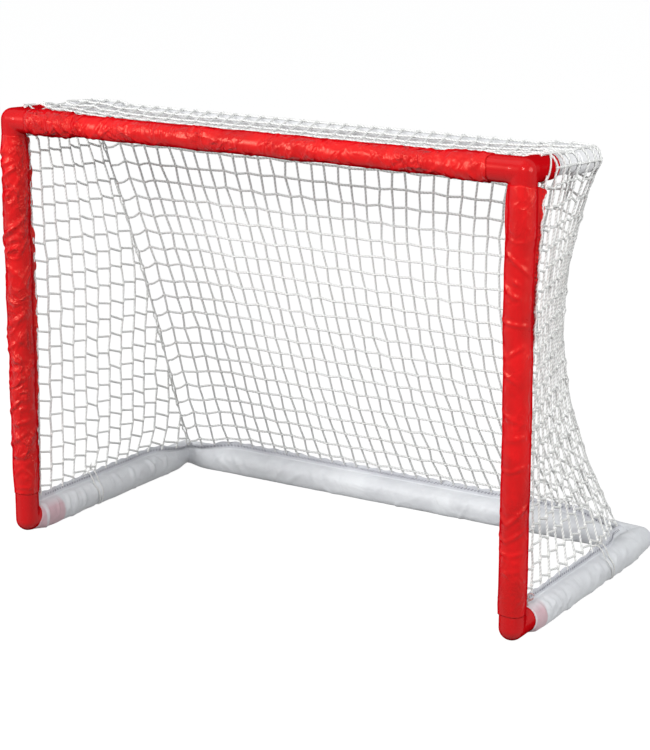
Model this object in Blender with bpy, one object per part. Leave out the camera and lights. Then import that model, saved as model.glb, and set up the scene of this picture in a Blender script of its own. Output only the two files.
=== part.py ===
"""Mini hockey goal: a push-fit plastic tube frame in nylon sleeves, with a net of four panels.

Run with: blender --background --python part.py

The goal stands on z = 0 and faces -Y, and X runs along the crossbar. The origin is on the floor,
under the middle of the frame's depth. Everything is in metres and radians.
"""
import math

import bmesh
import bpy
from mathutils import Euler, Vector

# Driving dimensions of the frame
GOAL_WIDTH = 0.813         # across the outsides of the fittings
GOAL_HEIGHT = 0.610        # floor to the top of the fittings
BASE_DEPTH = 0.390         # front axis to rear axis, along the floor
TOP_DEPTH = 0.176          # front axis to rear axis, at the top
TOP_DROP = 0.010           # the net's pull draws the rear top tube this far below the crossbar

# Tubes and moulded fittings
TUBE_OD = 0.0267
TUBE_WALL = 0.0029
FITTING_OD = 0.0334
FRONT_ARM = 0.085          # corner axis to socket mouth on the red fittings
REAR_ARM = 0.050           # the same on the white elbows
SOCKET_STOP = 0.026        # corner axis to the shoulder that a tube seats on
PASSAGE_RADIUS = 0.0105    # bore through the corner, inside the shoulders
BALL_SWELL = 0.0001        # the ball of a corner stands this proud of its arms
ARM_START = 0.0030         # where an arm has come out of the ball
PASSAGE_SWELL = 1.15       # the hollow at the heart of a corner, against the bores that meet there
WELD_DISTANCE = 0.00005
FLAT_ANGLE = math.radians(0.2)   # faces closer to one plane than this are joined
RIM_BEVEL = 0.0010
CLEARANCE = 0.0003

# Nylon sleeves
SLEEVE_WALL = 0.0009
POST_SLEEVE_RADIUS = 0.0188
POST_SLEEVE_BORE = 0.0177
BAR_SLEEVE_RADIUS = 0.0156
BAR_SLEEVE_BORE = 0.0142
BAR_FLARE_RADIUS = 0.0184  # where the crossbar sleeve is drawn over the fittings
BAR_FLARE_BORE = 0.0177
BASE_SLEEVE_RADIUS = 0.0195
BASE_SLEEVE_BORE = 0.0184
GATHER_HEIGHT = 0.0005     # half the height of the soft folds round a sleeve
GATHERS_ROUND = 3
HEM_HEIGHT = 0.012         # the sewn edge that holds the net, standing on each sleeve
HEM_THICKNESS = 0.0020
BAR_HEM_HEIGHT = 0.006
BAR_HEM_RISE = math.radians(25)
HEM_LEAN = math.radians(45)  # how far the base hem leans in at the rear corners
HEM_LEAN_RUN = 0.080
TIE_SPREAD = 0.014         # a tie draws a base sleeve in over this length to each side
MITRE_LEAD = 0.010         # straight run of a base sleeve between its last folds and the mitre
BAR_SLEEVE_GAP = {"left": 0.030, "right": 0.049}      # corner axis to the crossbar sleeve's end
POST_SLEEVE_GAP = {"left": 0.0240, "right": 0.0200}   # crossbar axis down to the post sleeve
POST_SLEEVE_FOOT = {"left": 0.059, "right": 0.0365}   # floor up to the post sleeve
BASE_SLEEVE_MOUTH = 0.038  # front axis to the open end of a base sleeve

# Net
STRAND_WIDTH = 0.0028
STRAND_THICKNESS = 0.0020
NET_COLUMNS = 10           # across the back and the top
NET_ROWS = 7               # up the back and the sides
SIDE_COLUMNS = 4
TOP_ROWS = 3
SEAM_CORD_RADIUS = 0.0013
SEAM_DRAW_IN = 0.032       # how far the corner seams bow towards the middle of the goal
BACK_BELLY = 0.012         # how far the back panel stands behind the line of its seams
TOP_SAG = 0.007
WRAP_STEP = math.radians(28)   # bend of a strand from one point to the next, round a tube
SEAM_RISE = math.radians(67)   # place of the seam cord on the top side tubes, up from outwards
SEAM_TURN = math.radians(63)   # place where it leaves the corner ball, back from outwards
CORNER_LEAD = 0.016        # from a panel's last straight column to the corner's axis
CORD_LEAD = 0.008          # from the last straight point of the seam cord to the ball
SEAM_SWEEP = 0.2           # how late the seam cord turns down over the ball, from 1 to 0
SEAM_SPREAD = 1.35         # room that the seam's slant needs beside it, against a square run

# Ties
TIE_RADIUS = 0.0009
TOP_TIE_PLACE = 0.060                             # along the fitting's back arm
BASE_TIE_PLACE = {"left": (1, 0.56), "right": (2, 0.78)}  # gap of the side panel, and share of it
FOOT_RING_RADIUS = 0.0048
TIE_POINTS = 18
FOOT_RING_LEAD = 0.0042    # the ring's place behind the front edge of the net

# Facets
TUBE_SIDES = 16
SLEEVE_SIDES = 14
CORD_SIDES_LEVEL = 1       # bevel resolution of the thin cords
BALL_SIDES = 14
BALL_RINGS = 7
BALL_TURN = Euler((0.31, 0.23, 0.17))

# Sizes that follow
TUBE_RADIUS = TUBE_OD / 2
FITTING_RADIUS = FITTING_OD / 2
BALL_RADIUS = FITTING_RADIUS + BALL_SWELL
SOCKET_RADIUS = TUBE_RADIUS + CLEARANCE
BASE_AXIS = FITTING_RADIUS + CLEARANCE + SLEEVE_WALL
BAR_AXIS = GOAL_HEIGHT - FITTING_RADIUS
REAR_TOP_AXIS = BAR_AXIS - TOP_DROP
HALF_WIDTH = (GOAL_WIDTH - FITTING_OD) / 2
FRONT = -BASE_DEPTH / 2
REAR = BASE_DEPTH / 2
TOP_REAR = FRONT + TOP_DEPTH
STRAND_REACH = math.hypot(STRAND_WIDTH, STRAND_THICKNESS) / 2
EDGE_GAP = CLEARANCE + STRAND_REACH               # from what a panel meets to its edge strand
STRAND_SEAT = CLEARANCE + STRAND_THICKNESS / 2 + STRAND_WIDTH / 2 * math.sin(WRAP_STEP / 2)
WRAP_RADIUS = (BALL_RADIUS + STRAND_SEAT) / math.cos(WRAP_STEP / 2)
BARE_WRAP_RADIUS = (TUBE_RADIUS + STRAND_SEAT) / math.cos(WRAP_STEP / 2)
SEAM_SPACE = SEAM_CORD_RADIUS + EDGE_GAP          # from the seam cord to an edge strand
SEAM_SPACE_ANGLE = SEAM_SPACE / WRAP_RADIUS
HEM_TIP = BASE_SLEEVE_RADIUS + HEM_HEIGHT
SEAM_FOOT = (HEM_TIP + EDGE_GAP) * math.sin(HEM_LEAN)   # the seam's foot from both rear axes
MITRE_START = HEM_TIP * math.sin(HEM_LEAN) + MITRE_LEAD
POST_HEM_TIP = POST_SLEEVE_RADIUS + HEM_HEIGHT
BAR_HEM_TIP = BAR_FLARE_RADIUS + BAR_HEM_HEIGHT

RIGHT = Vector((1, 0, 0))
BACK = Vector((0, 1, 0))
UP = Vector((0, 0, 1))
SIDES = {"left": -1, "right": 1}
TOP_RUN = Vector((0, TOP_DEPTH, -TOP_DROP)).normalized()
TOP_RUN_LENGTH = math.hypot(TOP_DEPTH, TOP_DROP)


def material(name, colour, roughness):
    """A plain moulded or woven finish."""
    finish = bpy.data.materials.new(name)
    finish.use_nodes = True
    shader = finish.node_tree.nodes["Principled BSDF"]
    shader.inputs["Base Color"].default_value = (*colour, 1)
    shader.inputs["Roughness"].default_value = roughness
    shader.inputs["Metallic"].default_value = 0
    finish.diffuse_color = (*colour, 1)
    return finish


def add_object(name, mesh, finish, smooth_angle=math.radians(35)):
    """Puts a mesh in the scene under its piece's name."""
    mesh.name = name
    mesh.materials.clear()
    mesh.materials.append(finish)
    mesh.shade_smooth()
    mesh.set_sharp_from_angle(angle=smooth_angle)
    piece = bpy.data.objects.new(name, mesh)
    bpy.context.scene.collection.objects.link(piece)
    return piece


def mesh_from(bm, bent=False):
    """Turns a bmesh's faces outwards, splits them if they are bent, and makes it a mesh."""
    bmesh.ops.recalc_face_normals(bm, faces=bm.faces)
    if bent:
        bmesh.ops.triangulate(bm, faces=bm.faces)
    mesh = bpy.data.meshes.new("shape")
    bm.to_mesh(mesh)
    bm.free()
    return mesh


def cross_axes(axis):
    """Two unit vectors square to an axis and to each other."""
    axis = axis.normalized()
    first = axis.cross(UP if abs(axis.z) < 0.9 else RIGHT).normalized()
    return first, axis.cross(first).normalized()


def rings_to_faces(bm, rings, closed):
    """Skins a list of vertex rings, and joins the last to the first when closed."""
    count = len(rings[0])
    pairs = list(zip(rings, rings[1:]))
    if closed:
        pairs.append((rings[-1], rings[0]))
    for ring, following in pairs:
        for k in range(count):
            n = (k + 1) % count
            bm.faces.new((ring[k], ring[n], following[n], following[k]))


def turned(origin, axis, profile, sides, closed=False):
    """A turned body about an axis. The profile is a list of (distance along, radius)."""
    first, second = cross_axes(axis)
    axis = axis.normalized()
    bm = bmesh.new()
    rings = []
    for along, radius in profile:
        centre = origin + axis * along
        ring = []
        for k in range(sides):
            turn = math.tau * k / sides
            ring.append(bm.verts.new(centre + (first * math.cos(turn) + second * math.sin(turn)) * radius))
        rings.append(ring)
    rings_to_faces(bm, rings, closed)
    if not closed:
        bm.faces.new(rings[0])
        bm.faces.new(rings[-1])
    return mesh_from(bm)


def ball(centre, radius):
    """A ball for a corner, turned so that none of its facets lie along an arm's."""
    bm = bmesh.new()
    bmesh.ops.create_uvsphere(bm, u_segments=BALL_SIDES, v_segments=BALL_RINGS, radius=radius)
    bmesh.ops.rotate(bm, verts=bm.verts, matrix=BALL_TURN.to_matrix())
    bmesh.ops.translate(bm, verts=bm.verts, vec=centre)
    return mesh_from(bm)


def combined(first, others, operation):
    """The union or difference of meshes, as a new mesh."""
    host = bpy.data.objects.new("host", first)
    bpy.context.scene.collection.objects.link(host)
    tools = []
    for mesh in others:
        tool = bpy.data.objects.new("tool", mesh)
        bpy.context.scene.collection.objects.link(tool)
        cut = host.modifiers.new("cut", "BOOLEAN")
        cut.operation = operation
        cut.solver = "EXACT"
        cut.object = tool
        tools.append(tool)
    depsgraph = bpy.context.evaluated_depsgraph_get()
    bm = bmesh.new()
    bm.from_mesh(bpy.data.meshes.new_from_object(host.evaluated_get(depsgraph)))
    bmesh.ops.remove_doubles(bm, verts=bm.verts, dist=WELD_DISTANCE)
    bmesh.ops.dissolve_degenerate(bm, edges=bm.edges, dist=WELD_DISTANCE)
    bmesh.ops.dissolve_limit(bm, angle_limit=FLAT_ANGLE, verts=bm.verts, edges=bm.edges)
    for item in tools + [host]:
        bpy.data.objects.remove(item)
    return mesh_from(bm)


# Frame: tubes and fittings

def tube(name, start, end, finish):
    """A hollow tube between two points."""
    length = (end - start).length
    outer, inner = TUBE_RADIUS, TUBE_RADIUS - TUBE_WALL
    profile = [(0, inner), (0, outer), (length, outer), (length, inner)]
    return add_object(name, turned(start, end - start, profile, TUBE_SIDES, closed=True), finish)


def seat(corner, direction):
    """Where a tube ends inside a socket: on its shoulder."""
    return corner + direction * (SOCKET_STOP + CLEARANCE)


def tube_between(name, corner_a, corner_b, finish):
    """A tube seated in the sockets of two corners."""
    direction = (corner_b - corner_a).normalized()
    return tube(name, seat(corner_a, direction), seat(corner_b, -direction), finish)


def fitting(name, corner, directions, arm, finish):
    """A moulded corner: a ball with one socketed arm along each direction."""
    outside = [(0, FITTING_RADIUS * 0.7), (ARM_START, FITTING_RADIUS), (arm - RIM_BEVEL, FITTING_RADIUS),
               (arm, FITTING_RADIUS - RIM_BEVEL)]
    inside = [(0, PASSAGE_RADIUS), (SOCKET_STOP, PASSAGE_RADIUS), (SOCKET_STOP, SOCKET_RADIUS),
              (arm + RIM_BEVEL, SOCKET_RADIUS)]
    arms = [turned(corner, direction, outside, TUBE_SIDES) for direction in directions]
    bores = [turned(corner, direction, inside, TUBE_SIDES) for direction in directions]
    body = combined(ball(corner, BALL_RADIUS), arms, "UNION")
    hollow = combined(ball(corner, PASSAGE_RADIUS * PASSAGE_SWELL), bores, "UNION")
    return add_object(name, combined(body, [hollow], "DIFFERENCE"), finish)


def corner_point(side, place):
    """The axis corners of the frame: foot, top, base_rear and top_rear."""
    x = SIDES[side] * HALF_WIDTH
    return {
        "foot": Vector((x, FRONT, BASE_AXIS)),
        "top": Vector((x, FRONT, BAR_AXIS)),
        "base_rear": Vector((x, REAR, BASE_AXIS)),
        "top_rear": Vector((x, TOP_REAR, REAR_TOP_AXIS)),
    }[place]


def build_frame(red, white):
    """The eight moulded corners and the nine tubes between them."""
    for side, sign in SIDES.items():
        inward = RIGHT * -sign
        foot, top = corner_point(side, "foot"), corner_point(side, "top")
        base_rear, top_rear = corner_point(side, "base_rear"), corner_point(side, "top_rear")
        fitting(f"top_corner_{side}", top, [inward, -UP, TOP_RUN], FRONT_ARM, red)
        fitting(f"foot_elbow_{side}", foot, [UP, BACK], FRONT_ARM, red)
        fitting(f"top_rear_elbow_{side}", top_rear, [inward, -TOP_RUN], REAR_ARM, white)
        fitting(f"base_rear_elbow_{side}", base_rear, [inward, -BACK], REAR_ARM, white)
        tube_between(f"post_tube_{side}", foot, top, red)
        tube_between(f"base_side_tube_{side}", foot, base_rear, white)
        tube_between(f"top_side_tube_{side}", top, top_rear, white)
    for name, place, finish in (("crossbar_tube", "top", red), ("top_rear_tube", "top_rear", white),
                                ("base_rear_tube", "base_rear", white)):
        tube_between(name, corner_point("left", place), corner_point("right", place), finish)


# Sleeves

def gathered(radius, turn, along):
    """A sleeve's radius with its soft slanting folds."""
    fold = math.sin(GATHERS_ROUND * turn + along * 95) + math.sin(2 * turn - along * 61)
    return radius + GATHER_HEIGHT * 0.5 * fold


def hemmed_ring(radius, tip, hem_turn, along):
    """A sleeve's outer outline as (turn, radius) with its hem at hem_turn."""
    half = HEM_THICKNESS / 2
    foot_turn, tip_turn = math.asin(half / radius), math.asin(half / tip)
    ring = [(hem_turn - foot_turn, radius), (hem_turn - tip_turn, tip),
            (hem_turn + tip_turn, tip), (hem_turn + foot_turn, radius)]
    rest = SLEEVE_SIDES - len(ring)
    step = (math.tau - 2 * foot_turn) / (rest + 1)
    for k in range(rest):
        turn = hem_turn + foot_turn + step * (k + 1)
        ring.append((turn, gathered(radius, turn, along)))
    return ring


def plain_ring(bore, radius, hem_turn):
    """A sleeve's bore as (turn, radius), point for point inside an outline of the given radius."""
    foot_turn = math.asin(HEM_THICKNESS / 2 / radius)
    under_hem = [(hem_turn + share * foot_turn, bore) for share in (-1, -1 / 3, 1 / 3, 1)]
    return under_hem + [(turn, bore) for turn, _ in hemmed_ring(radius, radius, hem_turn, 0)[4:]]


def straight_place(origin, along, across, upright):
    """Puts a (distance, turn, radius) in the world. Turn 0 is upright, a quarter turn is across."""
    def place(distance, turn, radius):
        return (origin + along * distance + across * (radius * math.sin(turn))
                + upright * (radius * math.cos(turn)))
    return place


def sleeve(name, outer_rings, inner_rings, finish):
    """A closed skin between an outline and a bore, each a list of rings of points."""
    bm = bmesh.new()
    rings = [[bm.verts.new(point) for point in ring] for ring in outer_rings]
    rings += [[bm.verts.new(point) for point in ring] for ring in reversed(inner_rings)]
    rings_to_faces(bm, rings, closed=True)
    return add_object(name, mesh_from(bm, bent=True), finish)


def steps(start, end, count):
    """Evenly spaced values from start to end, both included."""
    return [start + (end - start) * k / count for k in range(count + 1)]


def post_sleeve(side, finish):
    """The red sleeve of a post, with its hem behind."""
    sign = SIDES[side]
    low, high = POST_SLEEVE_FOOT[side], BAR_AXIS - POST_SLEEVE_GAP[side]
    place = straight_place(Vector((sign * HALF_WIDTH, FRONT, 0)), UP, RIGHT * sign, BACK)
    outer = [[place(z, turn, radius) for turn, radius in hemmed_ring(POST_SLEEVE_RADIUS, POST_HEM_TIP, 0, z)]
             for z in steps(low, high, 7)]
    inner = [[place(z, turn, radius) for turn, radius in plain_ring(POST_SLEEVE_BORE, POST_SLEEVE_RADIUS, 0)] for z in (low, high)]
    sleeve(f"post_sleeve_{side}", outer, inner, finish)


def crossbar_sleeve(finish):
    """The red sleeve of the crossbar, drawn over the fittings at both ends."""
    left, right = -HALF_WIDTH + BAR_SLEEVE_GAP["left"], HALF_WIDTH - BAR_SLEEVE_GAP["right"]
    shoulder = HALF_WIDTH - FRONT_ARM - 0.006
    taper = 0.020
    hem_turn = math.pi / 2 - BAR_HEM_RISE
    place = straight_place(Vector((0, FRONT, BAR_AXIS)), RIGHT, BACK, UP)
    stations = [(left, True), (-shoulder, True)]
    stations += [(x, False) for x in steps(-shoulder + taper, shoulder - taper, 6)]
    stations += [(shoulder, True), (right, True)]

    def outer_ring(x, flared):
        radius = BAR_FLARE_RADIUS if flared else BAR_SLEEVE_RADIUS
        return [place(x, turn, r) for turn, r in hemmed_ring(radius, BAR_HEM_TIP, hem_turn, x)]

    def inner_ring(x, flared):
        radius, bore = (BAR_FLARE_RADIUS, BAR_FLARE_BORE) if flared else (BAR_SLEEVE_RADIUS, BAR_SLEEVE_BORE)
        return [place(x, turn, r) for turn, r in plain_ring(bore, radius, hem_turn)]

    outer = [outer_ring(x, flared) for x, flared in stations]
    inner = [inner_ring(x, flared) for x, flared in stations[:3] + stations[-3:]]
    sleeve("crossbar_sleeve", outer, inner, finish)


def hem_lean(to_corner):
    """How far the base hem leans in, at a distance from the rear corner's axis."""
    share = min(max(1 - (to_corner - MITRE_START) / HEM_LEAN_RUN, 0), 1)
    return HEM_LEAN * share * share * (3 - 2 * share)


def base_place(corner, along, inward):
    """Puts points of a base sleeve in the world, bent round the rear corner that it runs to.

    A point has a distance to the corner's axis, a share of the corner bend, a turn and a radius.
    Turn 0 is up and a quarter turn is inward. The outer half swings round the corner's upright
    axis and the inner half stops on the mitre.
    """
    def place(distance, bend, turn, radius, floor):
        reach, height = radius * math.sin(turn), corner.z + radius * math.cos(turn)
        spot = corner - along * distance
        if bend is not None:
            pull_back = MITRE_LEAD / 2 * (1 - bend) + MITRE_GAP * bend
            if reach >= 0:
                spot = corner - along * (reach + pull_back) + inward * reach
            else:
                swing = math.pi / 4 * bend
                spot = corner + (inward * math.cos(swing) - along * math.sin(swing)) * reach
                spot -= along * (MITRE_GAP * bend)
        else:
            spot = spot + inward * reach
        return Vector((spot.x, spot.y, max(height, floor)))
    return place


def base_stations(net_places, open_end=None, tie_place=None):
    """Stations of a base sleeve as (distance to the rear corner, bend, drawn in by a tie).

    The hem bends where the net's lower edge does, so net_places gives distances to the corner.
    """
    spots = [(d, None, False) for d in net_places if d > MITRE_START]
    if open_end is not None:
        spots = [spot for spot in spots if spot[0] < open_end - TIE_SPREAD] + [(open_end, None, False)]
    if tie_place is not None:
        spots = [spot for spot in spots if abs(spot[0] - tie_place) > TIE_SPREAD]
        spots += [(tie_place + TIE_SPREAD, None, False), (tie_place, None, True),
                  (tie_place - TIE_SPREAD, None, False)]
    return sorted(spots, reverse=True) + [(MITRE_START, None, False)]


def base_outer(place, distance, bend, drawn, length):
    """One outline ring of a base sleeve."""
    lean = hem_lean(distance if bend is None else 0)
    radius = BASE_TIE_WAIST if drawn else BASE_SLEEVE_RADIUS
    ring = hemmed_ring(radius, HEM_TIP, lean, length - distance)
    if drawn:
        ring = [(turn, min(r, radius) if k > 3 else r) for k, (turn, r) in enumerate(ring)]
    return [place(distance, bend, turn, r, 0) for turn, r in ring]


def base_inner(place, distance, bend, drawn):
    """One bore ring of a base sleeve."""
    lean = hem_lean(distance if bend is None else 0)
    bore, radius = BASE_SLEEVE_BORE, BASE_SLEEVE_RADIUS
    if drawn:
        bore, radius = BASE_TIE_WAIST - SLEEVE_WALL, BASE_TIE_WAIST
    return [place(distance, bend, turn, r, SLEEVE_WALL) for turn, r in plain_ring(bore, radius, lean)]


MITRE_GAP = CLEARANCE * 0.7
BASE_TIE_ROUND = BASE_AXIS - CLEARANCE - TIE_RADIUS
BASE_TIE_FROM = math.radians(66)      # where a base tie leaves the sleeve, from upright
BASE_TIE_STEPS = 10
BASE_TIE_WAIST = (BASE_TIE_ROUND * math.cos((math.pi - BASE_TIE_FROM) / BASE_TIE_STEPS)
                  - TIE_RADIUS - CLEARANCE)
CORNER_BENDS = (0, 0.5, 1)


def back_column_places():
    """Distances of the back panel's columns to the rear corner, along the base hem."""
    return [lerp(HALF_WIDTH, SEAM_FOOT + SEAM_SPACE * SEAM_SPREAD, share) for share in back_shares()]


def side_column_places():
    """Distances of the side panel's columns behind the front axis, along the base hem."""
    first = POST_HEM_TIP + EDGE_GAP
    last = BASE_DEPTH - SEAM_FOOT - SEAM_SPACE * SEAM_SPREAD
    shares = side_shares()
    return [first + (last - first) * share for share in shares]


def base_tie_place(side):
    """Distance of a base tie behind the front axis, inside one gap of the side panel."""
    gap, share = BASE_TIE_PLACE[side]
    columns = side_column_places()
    return columns[gap] + (columns[gap + 1] - columns[gap]) * share


def in_lean(distance):
    """Whether the hem leans here, so that the bore has to turn along with it."""
    return distance < MITRE_START + HEM_LEAN_RUN


def base_side_sleeve(side, finish):
    """The white sleeve of a base side tube, from its open mouth to the mitre at the rear."""
    corner = corner_point(side, "base_rear")
    place = base_place(corner, BACK, RIGHT * -SIDES[side])
    net_places = [BASE_DEPTH - d for d in side_column_places()]
    spots = base_stations(net_places, BASE_DEPTH - BASE_SLEEVE_MOUTH, BASE_DEPTH - base_tie_place(side))
    outer = [base_outer(place, d, bend, drawn, BASE_DEPTH) for d, bend, drawn in spots]
    outer += [base_outer(place, 0, bend, False, BASE_DEPTH) for bend in CORNER_BENDS]
    drawn_at = [k for k, spot in enumerate(spots) if spot[2]][0]
    kept = [spot for k, spot in enumerate(spots)
            if k == 0 or abs(k - drawn_at) <= 1 or in_lean(spot[0])]
    inner = [base_inner(place, d, bend, drawn) for d, bend, drawn in kept]
    inner += [base_inner(place, 0, bend, False) for bend in CORNER_BENDS]
    sleeve(f"base_sleeve_{side}", outer, inner, finish)


def base_rear_sleeve(finish):
    """The white sleeve of the rear base tube, mitred at both ends."""
    outer, inner = [], []
    for side, sign in SIDES.items():
        corner = corner_point(side, "base_rear")
        place = base_place(corner, RIGHT * sign, -BACK)
        spots = base_stations([d for k, d in enumerate(back_column_places()) if in_lean(d) or k % 2 == 0])
        along = [HALF_WIDTH - sign * (HALF_WIDTH - d) for d, _, _ in spots]
        outline = [(d, bend, a) for (d, bend, _), a in zip(spots, along)]
        outline += [(0, bend, HALF_WIDTH * (1 - sign)) for bend in CORNER_BENDS]
        rings = []
        for d, bend, a in outline:
            lean = hem_lean(d if bend is None else 0)
            ring = hemmed_ring(BASE_SLEEVE_RADIUS, HEM_TIP, lean, a)
            rings.append([place(d, bend, turn, r, 0) for turn, r in ring])
        bores = [base_inner(place, d, bend, False) for d, bend, _ in spots if in_lean(d)]
        bores += [base_inner(place, 0, bend, False) for bend in CORNER_BENDS]
        if sign < 0:
            outer, inner = rings[::-1], bores[::-1]
        else:
            outer += rings[1:]
            inner += bores
    sleeve("base_sleeve_rear", outer, inner, finish)


# Net

def side_shares():
    """Shares of the side panel's width at its columns: even, with one bend point before the last."""
    shares = [k / SIDE_COLUMNS for k in range(SIDE_COLUMNS + 1)]
    shares.insert(SIDE_COLUMNS, (SIDE_COLUMNS - 0.5) / SIDE_COLUMNS)
    return shares


def back_shares():
    """Shares of half the back panel at its columns: even, with one bend point before the last."""
    count = NET_COLUMNS // 2
    shares = [k / count for k in range(count + 1)]
    shares.insert(count, (count - 0.5) / count)
    return shares


def lerp(a, b, share):
    return a + (b - a) * share


def seam_turn_at(rise):
    """How far back the seam cord has turned round the corner ball, at a rise above level."""
    return SEAM_TURN * max(1 - rise / SEAM_RISE, 0) ** SEAM_SWEEP


def ball_point(turn, rise, radius=WRAP_RADIUS):
    """A point over the right top rear corner. Turn 0 is outwards and a quarter turn is back."""
    level = RIGHT * math.cos(turn) + BACK * math.sin(turn)
    return corner_point("right", "top_rear") + (level * math.cos(rise) + UP * math.sin(rise)) * radius


def side_tube_point(run, rise, radius=WRAP_RADIUS):
    """A point round the right top side tube. Rise 0 is outwards and a quarter turn is up."""
    along = corner_point("right", "top") + TOP_RUN * run
    return along + (RIGHT * math.cos(rise) + UP * math.sin(rise)) * radius


def seam_ball_turn(rise, spread=0):
    """The seam's turn on the ball, or that of an edge strand beside it."""
    return seam_turn_at(max(rise, 0)) + spread * SEAM_SPACE_ANGLE * SEAM_SPREAD / math.cos(rise)


def seam_point(share):
    """The right corner seam, from the base hem's corner (0) to the foot of the corner ball (1)."""
    lift = (HEM_TIP + EDGE_GAP) * math.cos(HEM_LEAN)
    low = Vector((HALF_WIDTH - SEAM_FOOT, REAR - SEAM_FOOT, BASE_AXIS + lift))
    high = ball_point(SEAM_TURN, -WRAP_STEP)
    return Vector((
        lerp(low.x, high.x, share ** 3) - SEAM_DRAW_IN * math.sin(math.pi * share),
        lerp(high.y, low.y, (1 - share) ** 2),
        lerp(low.z, high.z, share),
    ))


def beside_seam(share, towards):
    """A point of an edge strand beside the seam, on the side that a direction gives."""
    tangent = (seam_point(share + 0.01) - seam_point(share - 0.01)).normalized()
    across = (towards - tangent * towards.dot(tangent)).normalized()
    return seam_point(share) + across * SEAM_SPACE


def base_hem_point(to_corner, corner, along, inward):
    """A point of the net's lower edge on a base hem, at a distance from the rear corner's axis."""
    lean = hem_lean(to_corner)
    reach = HEM_TIP + EDGE_GAP
    return corner - along * to_corner + (inward * math.sin(lean) + UP * math.cos(lean)) * reach


def coons(low, high, start, end, u, v):
    """A patch stretched between four edge curves, each a function of its share."""
    ruled = lerp(low(u), high(u), v) + lerp(start(v), end(v), u)
    corners = lerp(lerp(low(0), low(1), u), lerp(high(0), high(1), u), v)
    return ruled - corners


def side_panel_points():
    """Points of the right side panel, and which of its columns and rows carry a strand."""
    first = POST_HEM_TIP + EDGE_GAP
    columns = side_column_places()
    last_run = TOP_RUN_LENGTH - CORNER_LEAD
    rises = [-WRAP_STEP, 0, WRAP_STEP, SEAM_RISE - SEAM_SPACE_ANGLE * SEAM_SPREAD]
    shares = side_shares()
    whole = len(shares) - 3          # the last column on the straight part of the top tube

    def wrapped(k, rise):
        if k <= whole:
            return side_tube_point(lerp(first, last_run, k / whole), rise)
        end_turn = seam_ball_turn(rise, -1)
        return ball_point(max(end_turn - WRAP_STEP * (whole + 2 - k), 0), rise)

    def high(u):
        for k in range(len(shares) - 1):
            if u <= shares[k + 1] + 1e-9:
                share = (u - shares[k]) / (shares[k + 1] - shares[k])
                return lerp(wrapped(k, rises[0]), wrapped(k + 1, rises[0]), share)

    def low(u):
        corner = corner_point("right", "base_rear")
        to_corner = BASE_DEPTH - lerp(columns[0], columns[-1], u)
        return base_hem_point(to_corner, corner, BACK, -RIGHT)

    def start(v):
        foot = low(0)
        head = high(0)
        return Vector((lerp(foot.x, head.x, v ** 6), foot.y, lerp(foot.z, head.z, v)))

    def end(v):
        if v in (0, 1):
            return high(1) if v else low(1)
        return beside_seam(v, RIGHT * 0.35 - BACK)

    points = []
    for k, u in enumerate(shares):
        line = [coons(low, high, start, end, u, j / NET_ROWS) for j in range(NET_ROWS)]
        line += [wrapped(k, rise) for rise in rises]
        points.append(line)
    strand_columns = [k != len(shares) - 2 for k in range(len(shares))]
    strand_rows = [True] * NET_ROWS + [True, False, False, True]
    return points, strand_columns, strand_rows


def across_places(half_span, count):
    """Even places from -half_span to half_span."""
    return steps(-half_span, half_span, count)


def rear_wrap_radius(x):
    """Round the rear top tube: close to the tube, and clear of the elbows near the corners."""
    pitch = 2 * HALF_WIDTH / NET_COLUMNS
    return WRAP_RADIUS if HALF_WIDTH - abs(x) < REAR_ARM + pitch else BARE_WRAP_RADIUS


def rear_tube_point(x, rise):
    """A point round the rear top tube. Rise 0 is back and a quarter turn is up."""
    radius = rear_wrap_radius(x)
    return Vector((x, TOP_REAR + radius * math.cos(rise), REAR_TOP_AXIS + radius * math.sin(rise)))


def mirrored(point, side):
    return Vector((point.x * side, point.y, point.z))


def back_panel_points():
    """Points of the back panel from the base hem up to the rear top tube."""
    shares = back_shares()

    def wrapped(u, rise):
        if abs(u) > 1 - 1e-9:
            return mirrored(ball_point(seam_ball_turn(rise, 1), rise), math.copysign(1, u))
        return rear_tube_point(u * HALF_WIDTH, rise)

    def edge_rise(u):
        radius = rear_wrap_radius(u * HALF_WIDTH)
        return -(2 * STRAND_REACH + CLEARANCE) / radius

    def high(u):
        return wrapped(u, -WRAP_STEP)

    def low(u):
        side = "right" if u > 0 else "left"
        sign = SIDES[side]
        corner = corner_point(side, "base_rear")
        to_corner = lerp(HALF_WIDTH, SEAM_FOOT + SEAM_SPACE * SEAM_SPREAD, abs(u))
        return base_hem_point(to_corner, corner, RIGHT * sign, -BACK)

    def edge(v, sign):
        if v in (0, 1):
            return high(sign) if v else low(sign)
        return mirrored(beside_seam(v, BACK * 0.35 - RIGHT), sign)

    def patch(u, v):
        point = coons(lambda a: low(2 * a - 1), lambda a: high(2 * a - 1),
                      lambda b: edge(b, -1), lambda b: edge(b, 1), (u + 1) / 2, v)
        return point + BACK * (BACK_BELLY * (1 - u ** 4) * math.sin(math.pi * v))

    points = []
    for u in [-share for share in reversed(shares[1:])] + shares:
        points.append([patch(u, j / NET_ROWS) for j in range(NET_ROWS + 1)] + [wrapped(u, edge_rise(u))])
    columns = [True, False] + [True] * (len(points) - 4) + [False, True]
    return points, columns, [True] * NET_ROWS + [False, True]


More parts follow.
